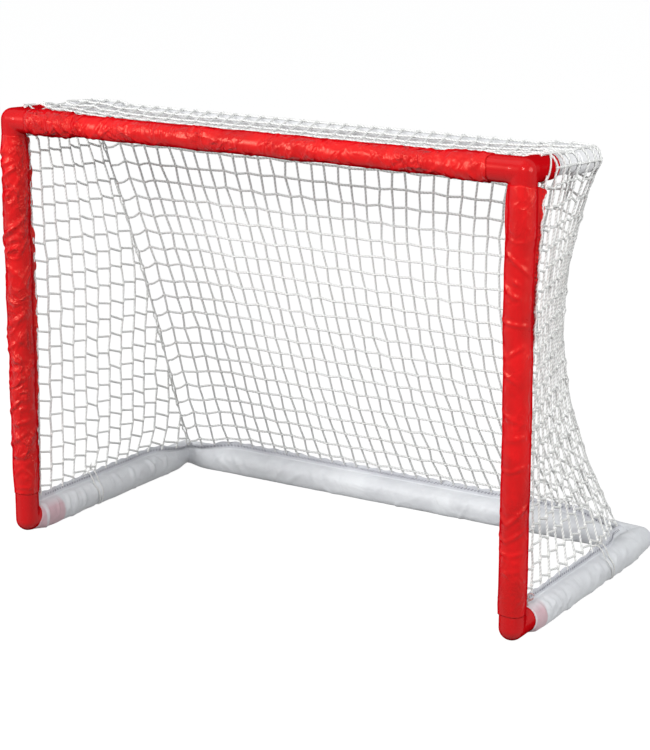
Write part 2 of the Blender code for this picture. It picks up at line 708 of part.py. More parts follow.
def top_panel_points():
    """Points of the top panel, from the crossbar's hem back over the rear top tube."""
    front_reach = BAR_HEM_TIP + EDGE_GAP
    front_y = FRONT + front_reach * math.cos(BAR_HEM_RISE)
    front_z = BAR_AXIS + front_reach * math.sin(BAR_HEM_RISE)
    edge_rise = SEAM_RISE + SEAM_SPACE_ANGLE * SEAM_SPREAD
    inner_rise = edge_rise + WRAP_STEP
    xs = across_places(HALF_WIDTH, NET_COLUMNS)
    wraps = [math.pi / 2, math.pi / 2 - WRAP_STEP, math.pi / 2 - 2 * WRAP_STEP, 0]

    def middle(x, j):
        share = j / TOP_ROWS
        back = rear_tube_point(x, math.pi / 2)
        sag = TOP_SAG * math.sin(math.pi * share) * (1 - (x / HALF_WIDTH) ** 4)
        return Vector((x, lerp(front_y, back.y, share), lerp(front_z, back.z, share) - sag))

    def edge(j, rise):
        start = front_y - FRONT
        return side_tube_point(lerp(start, TOP_RUN_LENGTH, j / TOP_ROWS), rise)

    def corner_wrap(rise):
        return ball_point(seam_ball_turn(rise, 1), rise)

    points = []
    for k, x in enumerate(xs):
        if k in (0, NET_COLUMNS):
            continue
        line = [middle(x, j) for j in range(TOP_ROWS)]
        line += [rear_tube_point(x, rise) for rise in wraps]
        points.append(line)
    for sign in (1, -1):
        outer = [mirrored(edge(j, edge_rise), sign) for j in range(TOP_ROWS + 1)]
        outer += [mirrored(corner_wrap(rise), sign) for rise in wraps[1:]]
        inner = [mirrored(edge(j, inner_rise), sign) for j in range(TOP_ROWS + 1)]
        inner += [rear_tube_point(sign * (HALF_WIDTH - CORNER_LEAD), rise) for rise in wraps[1:]]
        if sign > 0:
            points += [inner, outer]
        else:
            points = [outer, inner] + points
    columns = [True, False] + [True] * (NET_COLUMNS - 1) + [False, True]
    rows = [True] * (TOP_ROWS + 1) + [False, False, True]
    return points, columns, rows


def panel_mesh(points, strand_columns, strand_rows):
    """A flat-stranded lattice through a grid of points, as one closed body."""
    bm = bmesh.new()
    last_i, last_j = len(points) - 1, len(points[0]) - 1
    half_width, half_thickness = STRAND_WIDTH / 2, STRAND_THICKNESS / 2
    knots = {}
    for i in range(last_i + 1):
        for j in range(last_j + 1):
            if not (strand_columns[i] or strand_rows[j]):
                continue
            across = points[min(i + 1, last_i)][j] - points[max(i - 1, 0)][j]
            along = points[i][min(j + 1, last_j)] - points[i][max(j - 1, 0)]
            across.normalize()
            normal = across.cross(along).normalized()
            along = normal.cross(across).normalized()
            knot = {}
            for a in (-1, 1):
                for b in (-1, 1):
                    for c in (-1, 1):
                        offset = across * (a * half_width) + along * (b * half_width) + normal * (c * half_thickness)
                        knot[a, b, c] = bm.verts.new(points[i][j] + offset)
            knots[i, j] = knot

    def quad(*corners):
        bm.faces.new(corners)

    for (i, j), knot in knots.items():
        for c in (-1, 1):
            quad(knot[-1, -1, c], knot[1, -1, c], knot[1, 1, c], knot[-1, 1, c])
        right = knots.get((i + 1, j)) if strand_rows[j] else None
        if right:
            for c in (-1, 1):
                quad(knot[1, -1, c], right[-1, -1, c], right[-1, 1, c], knot[1, 1, c])
            for b in (-1, 1):
                quad(knot[1, b, -1], right[-1, b, -1], right[-1, b, 1], knot[1, b, 1])
        above = knots.get((i, j + 1)) if strand_columns[i] else None
        if above:
            for c in (-1, 1):
                quad(knot[-1, 1, c], knot[1, 1, c], above[1, -1, c], above[-1, -1, c])
            for a in (-1, 1):
                quad(knot[a, 1, -1], above[a, -1, -1], above[a, -1, 1], knot[a, 1, 1])
        ends = {
            (1, 0): right, (-1, 0): strand_rows[j] and knots.get((i - 1, j)),
            (0, 1): above, (0, -1): strand_columns[i] and knots.get((i, j - 1)),
        }
        for (a, b), neighbour in ends.items():
            if neighbour:
                continue
            if a:
                quad(knot[a, -1, -1], knot[a, 1, -1], knot[a, 1, 1], knot[a, -1, 1])
            else:
                quad(knot[-1, b, -1], knot[1, b, -1], knot[1, b, 1], knot[-1, b, 1])
    return mesh_from(bm, bent=True)


def panel(name, grid, finish, side=1):
    points, columns, rows = grid
    points = [[mirrored(point, side) for point in line] for line in points]
    return add_object(name, panel_mesh(points, columns, rows), finish)


def cord(name, points, radius, finish, closed=False):
    """A thin cord through a list of points."""
    curve = bpy.data.curves.new(name, "CURVE")
    curve.dimensions = "3D"
    curve.bevel_depth = radius
    curve.bevel_resolution = CORD_SIDES_LEVEL
    curve.use_fill_caps = not closed
    curve.render_resolution_u = 0
    spline = curve.splines.new("POLY")
    spline.points.add(len(points) - 1)
    for spot, point in zip(spline.points, points):
        spot.co = (*point, 1)
    spline.use_cyclic_u = closed
    curve.materials.append(finish)
    piece = bpy.data.objects.new(name, curve)
    bpy.context.scene.collection.objects.link(piece)
    return piece


def seam_cord_points():
    """The right seam: along the top side tube, over the rear corner and down to the base hem."""
    start = POST_HEM_TIP + EDGE_GAP
    points = [side_tube_point(run, SEAM_RISE) for run in steps(start, TOP_RUN_LENGTH - CORD_LEAD, 3)]
    points += [ball_point(seam_turn_at(rise), rise) for rise in steps(SEAM_RISE * 0.98, 0, 5)]
    return points + [seam_point(share) for share in steps(1, 0, NET_ROWS)]


def build_net(finish, seam_finish):
    panel("net_back", back_panel_points(), finish)
    panel("net_top", top_panel_points(), finish)
    for side, sign in SIDES.items():
        panel(f"net_{side}", side_panel_points(), finish, sign)
        cord(f"seam_cord_{side}", [mirrored(p, sign) for p in seam_cord_points()], SEAM_CORD_RADIUS, seam_finish)


# Ties

def top_tie_points():
    """A string round the right fitting's back arm and the net that lies on it."""
    close = FITTING_RADIUS + CLEARANCE + TIE_RADIUS
    over = WRAP_RADIUS + STRAND_THICKNESS / 2 + CLEARANCE + TIE_RADIUS * 1.6
    covered_from = -WRAP_STEP - math.radians(14)
    covered_to = SEAM_RISE + SEAM_SPACE_ANGLE + WRAP_STEP + math.radians(14)
    points = []
    for k in range(TIE_POINTS):
        rise = math.tau * k / TIE_POINTS + covered_from
        away = max(rise - covered_to, 0)
        away = min(away, math.tau + covered_from - rise)
        share = min(away / math.radians(30), 1)
        points.append(side_tube_point(TOP_TIE_PLACE, rise, lerp(over, close, share)))
    return points


def base_tie_points(side):
    """A string drawn round a base sleeve and through the net above its hem."""
    sign = SIDES[side]
    centre = Vector((sign * HALF_WIDTH, FRONT + base_tie_place(side), BASE_AXIS))
    beside = (STRAND_REACH + CLEARANCE + TIE_RADIUS) / math.cos(math.pi / 8)
    over = HEM_TIP + EDGE_GAP
    outline = [(math.sin(turn) * BASE_TIE_ROUND, math.cos(turn) * BASE_TIE_ROUND)
               for turn in steps(BASE_TIE_FROM, math.tau - BASE_TIE_FROM, BASE_TIE_STEPS)]
    outline += [(math.sin(turn) * beside, over + math.cos(turn) * beside)
                for turn in steps(-math.pi / 2, math.pi / 2, 4)]
    return [centre + RIGHT * across + UP * height for across, height in outline]


def foot_ring_points(side):
    """A small ring at the net's lower front corner."""
    edge = POST_HEM_TIP + EDGE_GAP + FOOT_RING_LEAD
    height = BASE_AXIS + HEM_TIP + EDGE_GAP
    centre = Vector((SIDES[side] * HALF_WIDTH, FRONT + edge, height))
    return [centre + (RIGHT * math.cos(turn) + UP * math.sin(turn)) * FOOT_RING_RADIUS
            for turn in steps(0, math.tau * 11 / 12, 11)]


def build_ties(finish):
    for side, sign in SIDES.items():
        cord(f"top_tie_{side}", [mirrored(p, sign) for p in top_tie_points()], TIE_RADIUS, finish, True)
        cord(f"base_tie_{side}", base_tie_points(side), TIE_RADIUS, finish, True)
        cord(f"foot_ring_{side}", foot_ring_points(side), TIE_RADIUS, finish, True)


def build():
    for item in list(bpy.data.objects):
        bpy.data.objects.remove(item)
    red = material("red_plastic", (0.70, 0.012, 0.018), 0.25)
    white = material("white_plastic", (0.78, 0.79, 0.80), 0.35)
    red_nylon = material("red_nylon", (0.66, 0.012, 0.018), 0.38)
    white_nylon = material("white_nylon", (0.66, 0.68, 0.70), 0.55)
    net_cord = material("net_cord", (0.74, 0.75, 0.74), 0.85)
    string = material("string", (0.80, 0.81, 0.80), 0.8)
    build_frame(red, white)
    for side in SIDES:
        post_sleeve(side, red_nylon)
        base_side_sleeve(side, white_nylon)
    crossbar_sleeve(red_nylon)
    base_rear_sleeve(white_nylon)
    build_net(net_cord, net_cord)
    build_ties(string)


if __name__ == "__main__":
    build()
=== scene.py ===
"""The looks of the mini hockey goal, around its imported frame.

The goal stands on z = 0 and faces -Y, and X runs along the crossbar. Everything is in metres and
radians. Shapes that stand on the right are mirrored for the left.
"""

import math

import bmesh
import bpy
import numpy as np
from mathutils import Euler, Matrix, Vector


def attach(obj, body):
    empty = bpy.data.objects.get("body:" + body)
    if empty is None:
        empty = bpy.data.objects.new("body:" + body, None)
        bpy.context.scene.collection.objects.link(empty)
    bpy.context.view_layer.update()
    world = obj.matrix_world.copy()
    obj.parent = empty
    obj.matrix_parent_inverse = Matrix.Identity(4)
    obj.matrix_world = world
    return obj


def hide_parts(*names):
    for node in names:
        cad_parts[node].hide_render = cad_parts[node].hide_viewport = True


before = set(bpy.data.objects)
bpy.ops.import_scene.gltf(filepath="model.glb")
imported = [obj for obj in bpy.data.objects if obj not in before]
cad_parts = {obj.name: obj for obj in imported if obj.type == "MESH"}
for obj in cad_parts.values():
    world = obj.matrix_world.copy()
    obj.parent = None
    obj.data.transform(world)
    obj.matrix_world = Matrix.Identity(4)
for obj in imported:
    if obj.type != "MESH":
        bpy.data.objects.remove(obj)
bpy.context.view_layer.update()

# Frame, with the numbers that the part's source has
GOAL_WIDTH = 0.813
GOAL_HEIGHT = 0.610
BASE_DEPTH = 0.390
TOP_DEPTH = 0.176
TOP_DROP = 0.010
TUBE_RADIUS = 0.01335
FITTING_RADIUS = 0.0167
FRONT_ARM = 0.085
REAR_ARM = 0.050
BASE_AXIS = 0.0179
BAR_AXIS = GOAL_HEIGHT - FITTING_RADIUS
REAR_TOP_AXIS = BAR_AXIS - TOP_DROP
HALF_WIDTH = GOAL_WIDTH / 2 - FITTING_RADIUS
FRONT = -BASE_DEPTH / 2
REAR = BASE_DEPTH / 2
TOP_REAR = FRONT + TOP_DEPTH

# Sleeves
CLOTH = 0.0007             # wall of the nylon
CREASE_ROUND = 0.018       # radius that a seeded crease's slant is drawn on
POST_SLEEVE_RADIUS = 0.0183
BAR_SLEEVE_RADIUS = 0.0156
BAR_FLARE_RADIUS = 0.0182  # over a fitting's arm
BASE_SLEEVE_RADIUS = 0.0192
HEM_HEIGHT = 0.012
HEM_THICKNESS = 0.0020
FLAP_FOOT = 0.0065         # a post's hem at its foot
HEM_HOLD = 0.12            # the turn on each side of a hem in which it holds the cloth
BAR_HEM_HEIGHT = 0.006
BAR_HEM_RISE = math.radians(25)
HEM_LEAN = math.radians(45)
HEM_LEAN_RUN = 0.080
MITRE_LEAD = 0.010         # from the end of the straight hems to the corner's mitre
BAR_SLEEVE_GAP = {"left": 0.030, "right": 0.049}
POST_SLEEVE_GAP = {"left": 0.0240, "right": 0.0200}
POST_SLEEVE_FOOT = {"left": 0.059, "right": 0.0365}
RING_SPACING = 0.0019      # of the sleeves' meshes
RIM_RUN = 0.022            # of a sleeve's uneven end
ARM_FADE = 0.012           # from a fitting's arm to where a sleeve is on the bare tube
SLEEVE_ROOM = 0.0003       # between a crease and what stands inside
ROUND_POINTS = 76          # round a sleeve, besides its hem
CORNER_RINGS = 8           # round a base sleeve's corner
DEEPEST_CREASE = 0.0016    # of a base sleeve
FLOOR_SAG = 0.0030         # how far a base sleeve hangs out, this far round from its top and so wide
SAG_TURN, SAG_SPREAD = 2.45, 0.45
TIE_DRAW, TIE_DRAW_RUN = 0.0018, 0.005
SNUG_RADIUS = FITTING_RADIUS + CLOTH + 0.0002      # of a sleeve's end on a fitting
FLUSH_RADIUS = FITTING_RADIUS + 0.00025            # of an end that shows no edge
FLAP_PLACES = {"left": (0.06, 0.19, 0.334, 0.478, 0.57), "right": (0.27, 0.40, 0.50, 0.55, 0.575)}
FLAP_TURNS = {"left": (-3, -9, -14, -5, -6), "right": (3, 14, 24, 32, 42)}      # degrees outwards there
SIDE_ARM = 0.064           # the part of the top fitting's back arm that stands bare
FILLET = 0.006             # of the fittings' inside corners
RIM_ROUND = 0.0012         # of the fittings' mouths
BEVEL = 0.0005             # of a tube's ends
TUBE_WALL = 0.0025
VOXEL = 0.0012             # of the fittings' meshes
SOCKET_DEPTH = 0.0263      # corner axis to a tube's end in its socket

# Net
CORD_RADIUS = 0.00160
CORD_SIDES = 6
CORD_RING_SPACING = 0.0017
CORD_LAY = 0.0102          # in which the two plies go once round
KNOT_SIZE = 0.00180
BACK_GAPS = 35             # cells across the back
ROWS = 21                  # cells up the back and the sides
SIDE_PITCH = 0.0222        # between the sides' upright strands
BAR_STEP, TOP_BAR_STEP = 0.0125, 0.0070             # share of the height, low and high on the sides
TOP_SHEAR = 0.13           # of the strands over the top, which slant
CREST_ROWS = (1.38, 1.86)  # round the top rear tube
SIDE_TOP_ROW = 1.32        # on the top side tube
TOP_ROW_PLACES = (2.17, 2.36, 2.55, 2.74, 2.92)
SEAM_DRAW_IN = 0.032       # of a corner seam, half way up
BACK_BELLY = 0.012         # of the back between its seams
TOP_SAG = 0.007            # of the net over the top
WRAP_STEP = math.radians(28)   # below a tube's side, where the net leaves it
SEAM_RISE = math.radians(67)
SEAM_TURN = math.radians(63)
SEAM_SWEEP = 0.2
SEAM_STEPS = (84, 16, 24)  # up the net, over the corner and along the top
NET_ON_FITTING = FITTING_RADIUS + 0.0016
NET_ON_TUBE = TUBE_RADIUS + 0.0016
NET_STEP = 0.004           # from a fitting down to the bare tube

# Ties
TIE_RADIUS = 0.00115
TOP_TIE_PLACE = 0.056                               # behind the fitting's corner
BASE_TIE_PLACE = {"left": 0.144, "right": 0.252}    # behind the front axis
BASE_TIE_SLANT = {"left": 0.004, "right": 0.014}

RIGHT = Vector((1, 0, 0))
BACK = Vector((0, 1, 0))
UP = Vector((0, 0, 1))
SIDES = {"left": -1, "right": 1}
TOP_RUN = Vector((0, TOP_DEPTH, -TOP_DROP)).normalized()
TOP_RUN_LENGTH = math.hypot(TOP_DEPTH, TOP_DROP)
FLOOR_REACH = 40           # of the paper to each side
WEAVE = 340                # threads of the nylon to a metre
HEM_TIP = BASE_SLEEVE_RADIUS + HEM_HEIGHT
POST_HEM_TIP = POST_SLEEVE_RADIUS + HEM_HEIGHT
NET_HEM_REACH = HEM_TIP - 0.004        # where the net meets a base sleeve's hem
NET_FLAP_REACH = POST_HEM_TIP - 0.002  # and where it meets a post's hem
SEAM_FOOT = (HEM_TIP + 0.002) * math.sin(HEM_LEAN)
MITRE_START = HEM_TIP * math.sin(HEM_LEAN) + MITRE_LEAD

# On the white cloth: where the red sockets show through (Y), where its mouth is rolled (Y, further
# back on the right), and where it starts to lie double (Z)
SOCKET_SHOWS_TO = (FRONT + 0.064, FRONT + 0.069)
MOUTH_ROLL_FROM, MOUTH_ROLL_TO = (FRONT + 0.0240, FRONT + 0.0262), (FRONT + 0.0286, FRONT + 0.0306)
MOUTH_SHIFT = 0.0085
HEM_DOUBLES = (BASE_AXIS + 0.0196, BASE_AXIS + 0.0212)

# Corners on the right
TOP_CORNER = Vector((HALF_WIDTH, FRONT, BAR_AXIS))
FOOT_CORNER = Vector((HALF_WIDTH, FRONT, BASE_AXIS))
TOP_REAR_CORNER = Vector((HALF_WIDTH, TOP_REAR, REAR_TOP_AXIS))
BASE_CORNER = Vector((HALF_WIDTH, REAR, BASE_AXIS))
SEAM_LOW = Vector((HALF_WIDTH - SEAM_FOOT, REAR - SEAM_FOOT,
                   BASE_AXIS + (HEM_TIP - 0.002) * math.cos(HEM_LEAN)))


# Numbers, objects and nodes

def lerp(a, b, share):
    return a + (b - a) * share


def smooth(share):
    share = min(max(share, 0.0), 1.0)
    return share * share * (3 - 2 * share)


def zigzag(k):
    return 1 if k % 2 else -1


def mirrored(points, sign):
    return [Vector((point[0] * sign, point[1], point[2])) for point in points]


def new_object(name, data):
    made = bpy.data.objects.new(name, data)
    bpy.context.scene.collection.objects.link(made)
    return made


def evaluated_mesh(holder):
    """What an object's modifiers make of it, as a plain mesh. The object goes."""
    bpy.context.view_layer.update()
    made = bpy.data.meshes.new_from_object(holder.evaluated_get(bpy.context.evaluated_depsgraph_get()))
    holder.modifiers.clear()
    bpy.data.objects.remove(holder)
    return made


def outward(mesh):
    """Turns the faces of a closed mesh outwards."""
    bm = bmesh.new()
    bm.from_mesh(mesh)
    bmesh.ops.recalc_face_normals(bm, faces=bm.faces)
    bm.to_mesh(mesh)
    bm.free()
    return mesh


class Tree:
    """Nodes under construction."""

    def __init__(self, tree):
        self.tree = tree

    def feed(self, socket, value):
        """Links a socket or sets it. A colour comes without its alpha."""
        if isinstance(value, bpy.types.NodeSocket):
            self.tree.links.new(value, socket)
        else:
            socket.default_value = (*value, 1) if socket.type == "RGBA" else value

    def add(self, kind, inputs=(), output=0, **settings):
        """One output of a new node. A list feeds its socket with several links."""
        node = self.tree.nodes.new(kind)
        for key, value in settings.items():
            setattr(node, key, value)
        for key, value in dict(inputs).items():
            for given in value if isinstance(value, list) else [value]:
                self.feed(node.inputs[key], given)
        return node.outputs[output] if node.outputs else None

    def maths(self, operation, first, second=0.0):
        return self.add("ShaderNodeMath", {0: first, 1: second}, operation=operation)

    def product(self, first, second):
        return self.maths("MULTIPLY", first, second)


# Camera, light and floor

def make_camera():
    """The photograph's viewpoint, fitted to thirty points and edges of the frame."""
    camera = bpy.data.cameras.new("camera")
    camera.sensor_width = 36
    camera.lens = 100.96
    camera.clip_start, camera.clip_end = 0.05, 200
    holder = new_object("camera", camera)
    holder.location = (1.4918, -2.4022, 1.0046)
    yaw, pitch, roll = math.radians(31.977), math.radians(15.065), math.radians(0.118)
    holder.rotation_mode = "QUATERNION"
    turn = Euler((math.pi / 2 - pitch, 0, yaw)).to_quaternion()
    holder.rotation_quaternion = turn @ Euler((0, 0, roll)).to_quaternion()
    bpy.context.scene.camera = holder


def soft_lamp(name, place, aim, size, power):
    """A round soft box."""
    light = bpy.data.lights.new(name, "AREA")
    light.shape = "DISK"
    light.size = size
    light.energy = power
    holder = new_object(name, light)
    holder.location = place
    holder.rotation_mode = "QUATERNION"
    holder.rotation_quaternion = (Vector(aim) - Vector(place)).to_track_quat("-Z", "Y")


def backdrop(owner, out, lit, seen):
    """Gives a world or a material two shaders: lit for the light, and seen for the camera, gloss and
    glass, which show a white background. Both are functions that add theirs to the tree."""
    owner.use_nodes = True
    tree = Tree(owner.node_tree)
    tree.tree.nodes.clear()
    shows = tree.add("ShaderNodeLightPath", output="Is Camera Ray")
    rays = shows.node.outputs
    for ray in ("Is Glossy Ray", "Is Transmission Ray"):
        shows = tree.maths("MAXIMUM", shows, rays[ray])
    mixed = tree.add("ShaderNodeMixShader", {0: shows, 1: lit(tree), 2: seen(tree)})
    tree.add(out, {"Surface": mixed})


def make_light():
    soft_lamp("key lamp", (1.15, -2.45, 1.75), (0, 0, 0.35), 0.75, 34)
    soft_lamp("left lamp", (-1.60, -2.50, 1.45), (-0.2, 0, 0.3), 1.1, 64)
    soft_lamp("top lamp", (-0.3, -0.9, 2.6), (0, 0, 0.3), 1.6, 7)
    soft_lamp("right lamp", (2.6, -0.4, 1.1), (0, 0, 0.2), 1.4, 31)
    world = bpy.data.worlds.new("studio")
    bpy.context.scene.world = world

    def room(tree):
        return tree.add("ShaderNodeBackground", {"Color": (0.94, 0.97, 1.0), "Strength": 0.28})

    def white(tree):
        return tree.add("ShaderNodeBackground", {"Color": (1, 1, 1)})

    backdrop(world, "ShaderNodeOutputWorld", room, white)


def make_floor():
    """White paper: it glows for the camera, and still takes the shadow."""
    mesh = bpy.data.meshes.new("studio_floor")
    corners = [(x * FLOOR_REACH, y * FLOOR_REACH, 0) for x, y in ((-1, -1), (1, -1), (1, 1), (-1, 1))]
    mesh.from_pydata(corners, [], [(0, 1, 2, 3)])
    finish = bpy.data.materials.new("white studio paper")

    def paper(tree):
        return tree.add("ShaderNodeBsdfDiffuse", {"Color": (0.15, 0.15, 0.15)})

    def glowing(tree):
        shaded = tree.add("ShaderNodeBsdfDiffuse", {"Color": (0.14, 0.14, 0.14)})
        glow = tree.add("ShaderNodeEmission", {"Strength": 0.955})
        return tree.add("ShaderNodeAddShader", {0: shaded, 1: glow})

    backdrop(finish, "ShaderNodeOutputMaterial", paper, glowing)
    mesh.materials.append(finish)
    new_object("studio_floor", mesh)


# Finishes

class Finish(Tree):
    """A procedural material under construction. Its shader's sockets are named with underscores."""

    def __init__(self, name, **sockets):
        self.material = bpy.data.materials.new(name)
        self.material.use_nodes = True
        super().__init__(self.material.node_tree)
        self.shader = self.tree.nodes["Principled BSDF"]
        self.set(**sockets)

    def set(self, **sockets):
        for label, value in sockets.items():
            self.feed(self.shader.inputs[label.replace("_", " ")], value)

    def moved(self, vector, turn=(0, 0, 0), scale=(1, 1, 1)):
        return self.add("ShaderNodeMapping", {"Vector": vector, "Rotation": turn, "Scale": scale})

    def place(self, scale=(1, 1, 1), source="Object", turn=(0, 0, 0)):
        return self.moved(self.add("ShaderNodeTexCoord", output=source), turn, scale)

    def axis(self, vector, name):
        return self.add("ShaderNodeSeparateXYZ", {"Vector": vector}, name)

    def noise(self, vector, scale, detail=3.0, roughness=0.5, distortion=0.0):
        return self.add("ShaderNodeTexNoise", {"Vector": vector, "Scale": scale, "Detail": detail,
                                               "Roughness": roughness, "Distortion": distortion})

    def ramp(self, value, low, high, start=0.0, end=1.0):
        return self.add("ShaderNodeMapRange", {"Value": value, "From Min": low, "From Max": high,
                                               "To Min": start, "To Max": end})

    def mix(self, share, first, second):
        return self.add("ShaderNodeMix", {0: share, 6: first, 7: second}, 2, data_type="RGBA")

    def bump(self, height, distance, strength=1.0, under=None):
        inputs = {"Height": height, "Distance": distance, "Strength": strength}
        if under is not None:
            inputs["Normal"] = under
        return self.add("ShaderNodeBump", inputs)

    def gloss(self, label, level):
        """Gloss that fades where the surface turns away, so that round edges stay dark."""
        facing = self.add("ShaderNodeLayerWeight", {"Blend": 0.5}, "Facing")
        self.set(**{label: self.ramp(facing, 0.26, 0.56, level, 0.0)})


def moulded(name, colour, deep, roughness, coat, tint=(1, 1, 1)):
    """Glossy moulded tube plastic: faint flow marks, fine handling scratches."""
    finish = Finish(name, Base_Color=colour, Roughness=roughness, Coat_Roughness=0.05, IOR=1.5,
                    Specular_Tint=tint)
    finish.gloss("Specular_IOR_Level", 0.30)
    finish.gloss("Coat_Weight", coat)
    spot = finish.place()
    cloud = finish.ramp(finish.noise(spot, 22, 4), 0.35, 0.7)
    scratch = finish.noise(finish.place((400, 60, 400), turn=(0.3, 0.2, 0.4)), 1.0, 2)
    worn = finish.ramp(finish.noise(spot, 60, 3), 0.3, 0.7, roughness * 0.8, roughness * 1.35)
    ripple = finish.bump(finish.noise(spot, 45, 2), 0.0001, 0.5)
    finish.set(Base_Color=finish.mix(cloud, colour, deep), Roughness=worn,
               Normal=finish.bump(scratch, 0.00002, 0.4, ripple))
    return finish.material


def woven(finish, height, strength, under):
    """Bump of a plain weave, on the sleeve's own UV map, which is in metres."""
    threads = finish.place((WEAVE, WEAVE, 1), "UV")
    wave = {"Vector": threads, "Scale": 1.0, "Distortion": 0.4}
    warp, weft = (finish.add("ShaderNodeTexWave", wave, "Fac", bands_direction=way) for way in "XY")
    return finish.bump(finish.product(warp, weft), height, strength, under)


def wrinkle(finish, spot, size, turn, stretch):
    """Height of short sharp creases that run one way, as on gathered cloth."""
    wave = finish.noise(finish.moved(spot, turn, stretch), 1 / size, 2.5, 0.5, 1.1)
    folded = finish.maths("ABSOLUTE", finish.maths("SUBTRACT", wave, 0.5))
    return finish.ramp(folded, 0.0, 0.16, 1.0, 0.0)


def red_nylon():
    """Coated red nylon: tight weave, a warm sheen on every crease and small crumples."""
    colour, deep = (0.69, 0.006, 0.010), (0.55, 0.004, 0.008)
    finish = Finish("red nylon", Base_Color=colour, Roughness=0.30, Specular_Tint=(1, 0.40, 0.28))
    finish.gloss("Specular_IOR_Level", 0.50)
    spot = finish.place()
    cloud = finish.noise(spot, 16, 5, 0.6)
    one = wrinkle(finish, spot, 0.046, (0.4, 0.6, 0.5), (1, 1.9, 1))
    other = wrinkle(finish, spot, 0.028, (-0.5, -0.7, 0.2), (1.8, 1, 1))
    patchy = finish.ramp(finish.noise(spot, 21, 2), 0.38, 0.56)
    calmer = finish.ramp(finish.axis(spot, "X"), 0.33, 0.37, 1.0, 0.35)    # on the right post
    here = finish.product(patchy, calmer)
    soft = finish.bump(finish.product(one, here), 0.0024, 0.9)
    sharp = finish.bump(finish.product(other, here), 0.0012, 0.8, soft)
    loose = finish.bump(finish.noise(spot, 42, 1.5, 0.5, 0.5), 0.0011, 0.6, sharp)
    finish.set(Base_Color=finish.mix(finish.ramp(cloud, 0.38, 0.62), deep, colour),
               Roughness=finish.ramp(cloud, 0.3, 0.7, 0.25, 0.35), Normal=woven(finish, 0.00004, 0.4, loose))
    return finish.material


def white_nylon():
    """Thin white nylon, greyish where it lies double and pink where the red sockets show through."""
    colour, grey = (0.78, 0.80, 0.82), (0.66, 0.675, 0.70)
    finish = Finish("white nylon", Base_Color=colour, Roughness=0.44, Specular_IOR_Level=0.24)
    spot = finish.place()
    cloud = finish.noise(spot, 14, 5, 0.6)
    cloth = finish.mix(finish.ramp(cloud, 0.35, 0.66), grey, colour)
    across, along, height = (finish.axis(spot, name) for name in "XYZ")
    behind = finish.maths("ADD", along, finish.product(finish.noise(spot, 40, 2), 0.008))
    thin = finish.ramp(behind, *SOCKET_SHOWS_TO, 1.0, 0.0)
    slid = finish.maths("SUBTRACT", behind, finish.ramp(across, -0.1, 0.1, 0.0, MOUTH_SHIFT))
    rolled = finish.maths("MAXIMUM", finish.ramp(slid, *MOUTH_ROLL_TO, 0.25, 1.0),
                          finish.ramp(slid, *MOUTH_ROLL_FROM, 1.0, 0.0))
    low = finish.ramp(height, BASE_AXIS + 0.010, BASE_AXIS + 0.019, 1.0, 0.15)
    share = finish.product(finish.product(thin, rolled), finish.product(low, 0.60))
    tinted = finish.mix(share, cloth, (0.60, 0.26, 0.31))
    doubled = finish.ramp(height, *HEM_DOUBLES, 0.0, 0.45)
    fold = wrinkle(finish, spot, 0.045, (0.3, 0.4, 0.9), (1, 1.3, 1))
    loose = finish.bump(finish.noise(spot, 48, 3, 0.5, 0.6), 0.0014, 0.6, finish.bump(fold, 0.0009, 0.5))
    finish.set(Base_Color=finish.mix(doubled, tinted, (0.48, 0.485, 0.54)),
               Roughness=finish.ramp(cloud, 0.3, 0.7, 0.38, 0.52), Normal=woven(finish, 0.00005, 0.5, loose))
    return finish.material


def laid_cord(name, colour, groove):
    """Two-ply cord: the plies' crowns are clean, and the groove between them is darkened with painted shade.
    """
    finish = Finish(name, Base_Color=colour, Roughness=0.75, Sheen_Weight=0.2, Sheen_Roughness=0.6)
    ply = finish.add("ShaderNodeAttribute", output="Fac", attribute_name="ply")
    spot = finish.place()
    grimy = tuple(part * kept for part, kept in zip(colour, (0.9, 0.89, 0.86)))
    crown = finish.mix(finish.ramp(finish.noise(spot, 30, 3), 0.4, 0.75, 0, 0.5), colour, grimy)
    # painted shade: the ply attribute darkens the colour towards the groove between the plies
    finish.set(Base_Color=finish.mix(finish.ramp(ply, -0.8, 0.5), groove, crown),
               Normal=finish.bump(finish.noise(spot, 900, 2), 0.0002, 0.8))
    return finish.material


def thread(name, colour):
    """Spun thread, or the plain plastic of the small hooks."""
    finish = Finish(name, Base_Color=colour, Roughness=0.6)
    spot = finish.place()
    finish.set(Base_Color=finish.mix(finish.noise(spot, 120, 2), colour, tuple(c * 0.8 for c in colour)),
               Normal=finish.bump(finish.noise(spot, 1500, 1), 0.0001, 0.6))
    return finish.material


# Pieces

def finished(name, mesh, slot, finish, replaces=()):
    """Makes a mesh a piece, with its finish and its place in the frame, and hides the nodes that it stands
    for. slot is not used.
    """
    mesh.materials.clear()
    mesh.materials.append(finish)
    mesh.shade_smooth()
    piece = new_object(name, mesh)
    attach(piece, "root")
    if replaces:
        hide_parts(*replaces)
    return piece


# Fittings and tubes

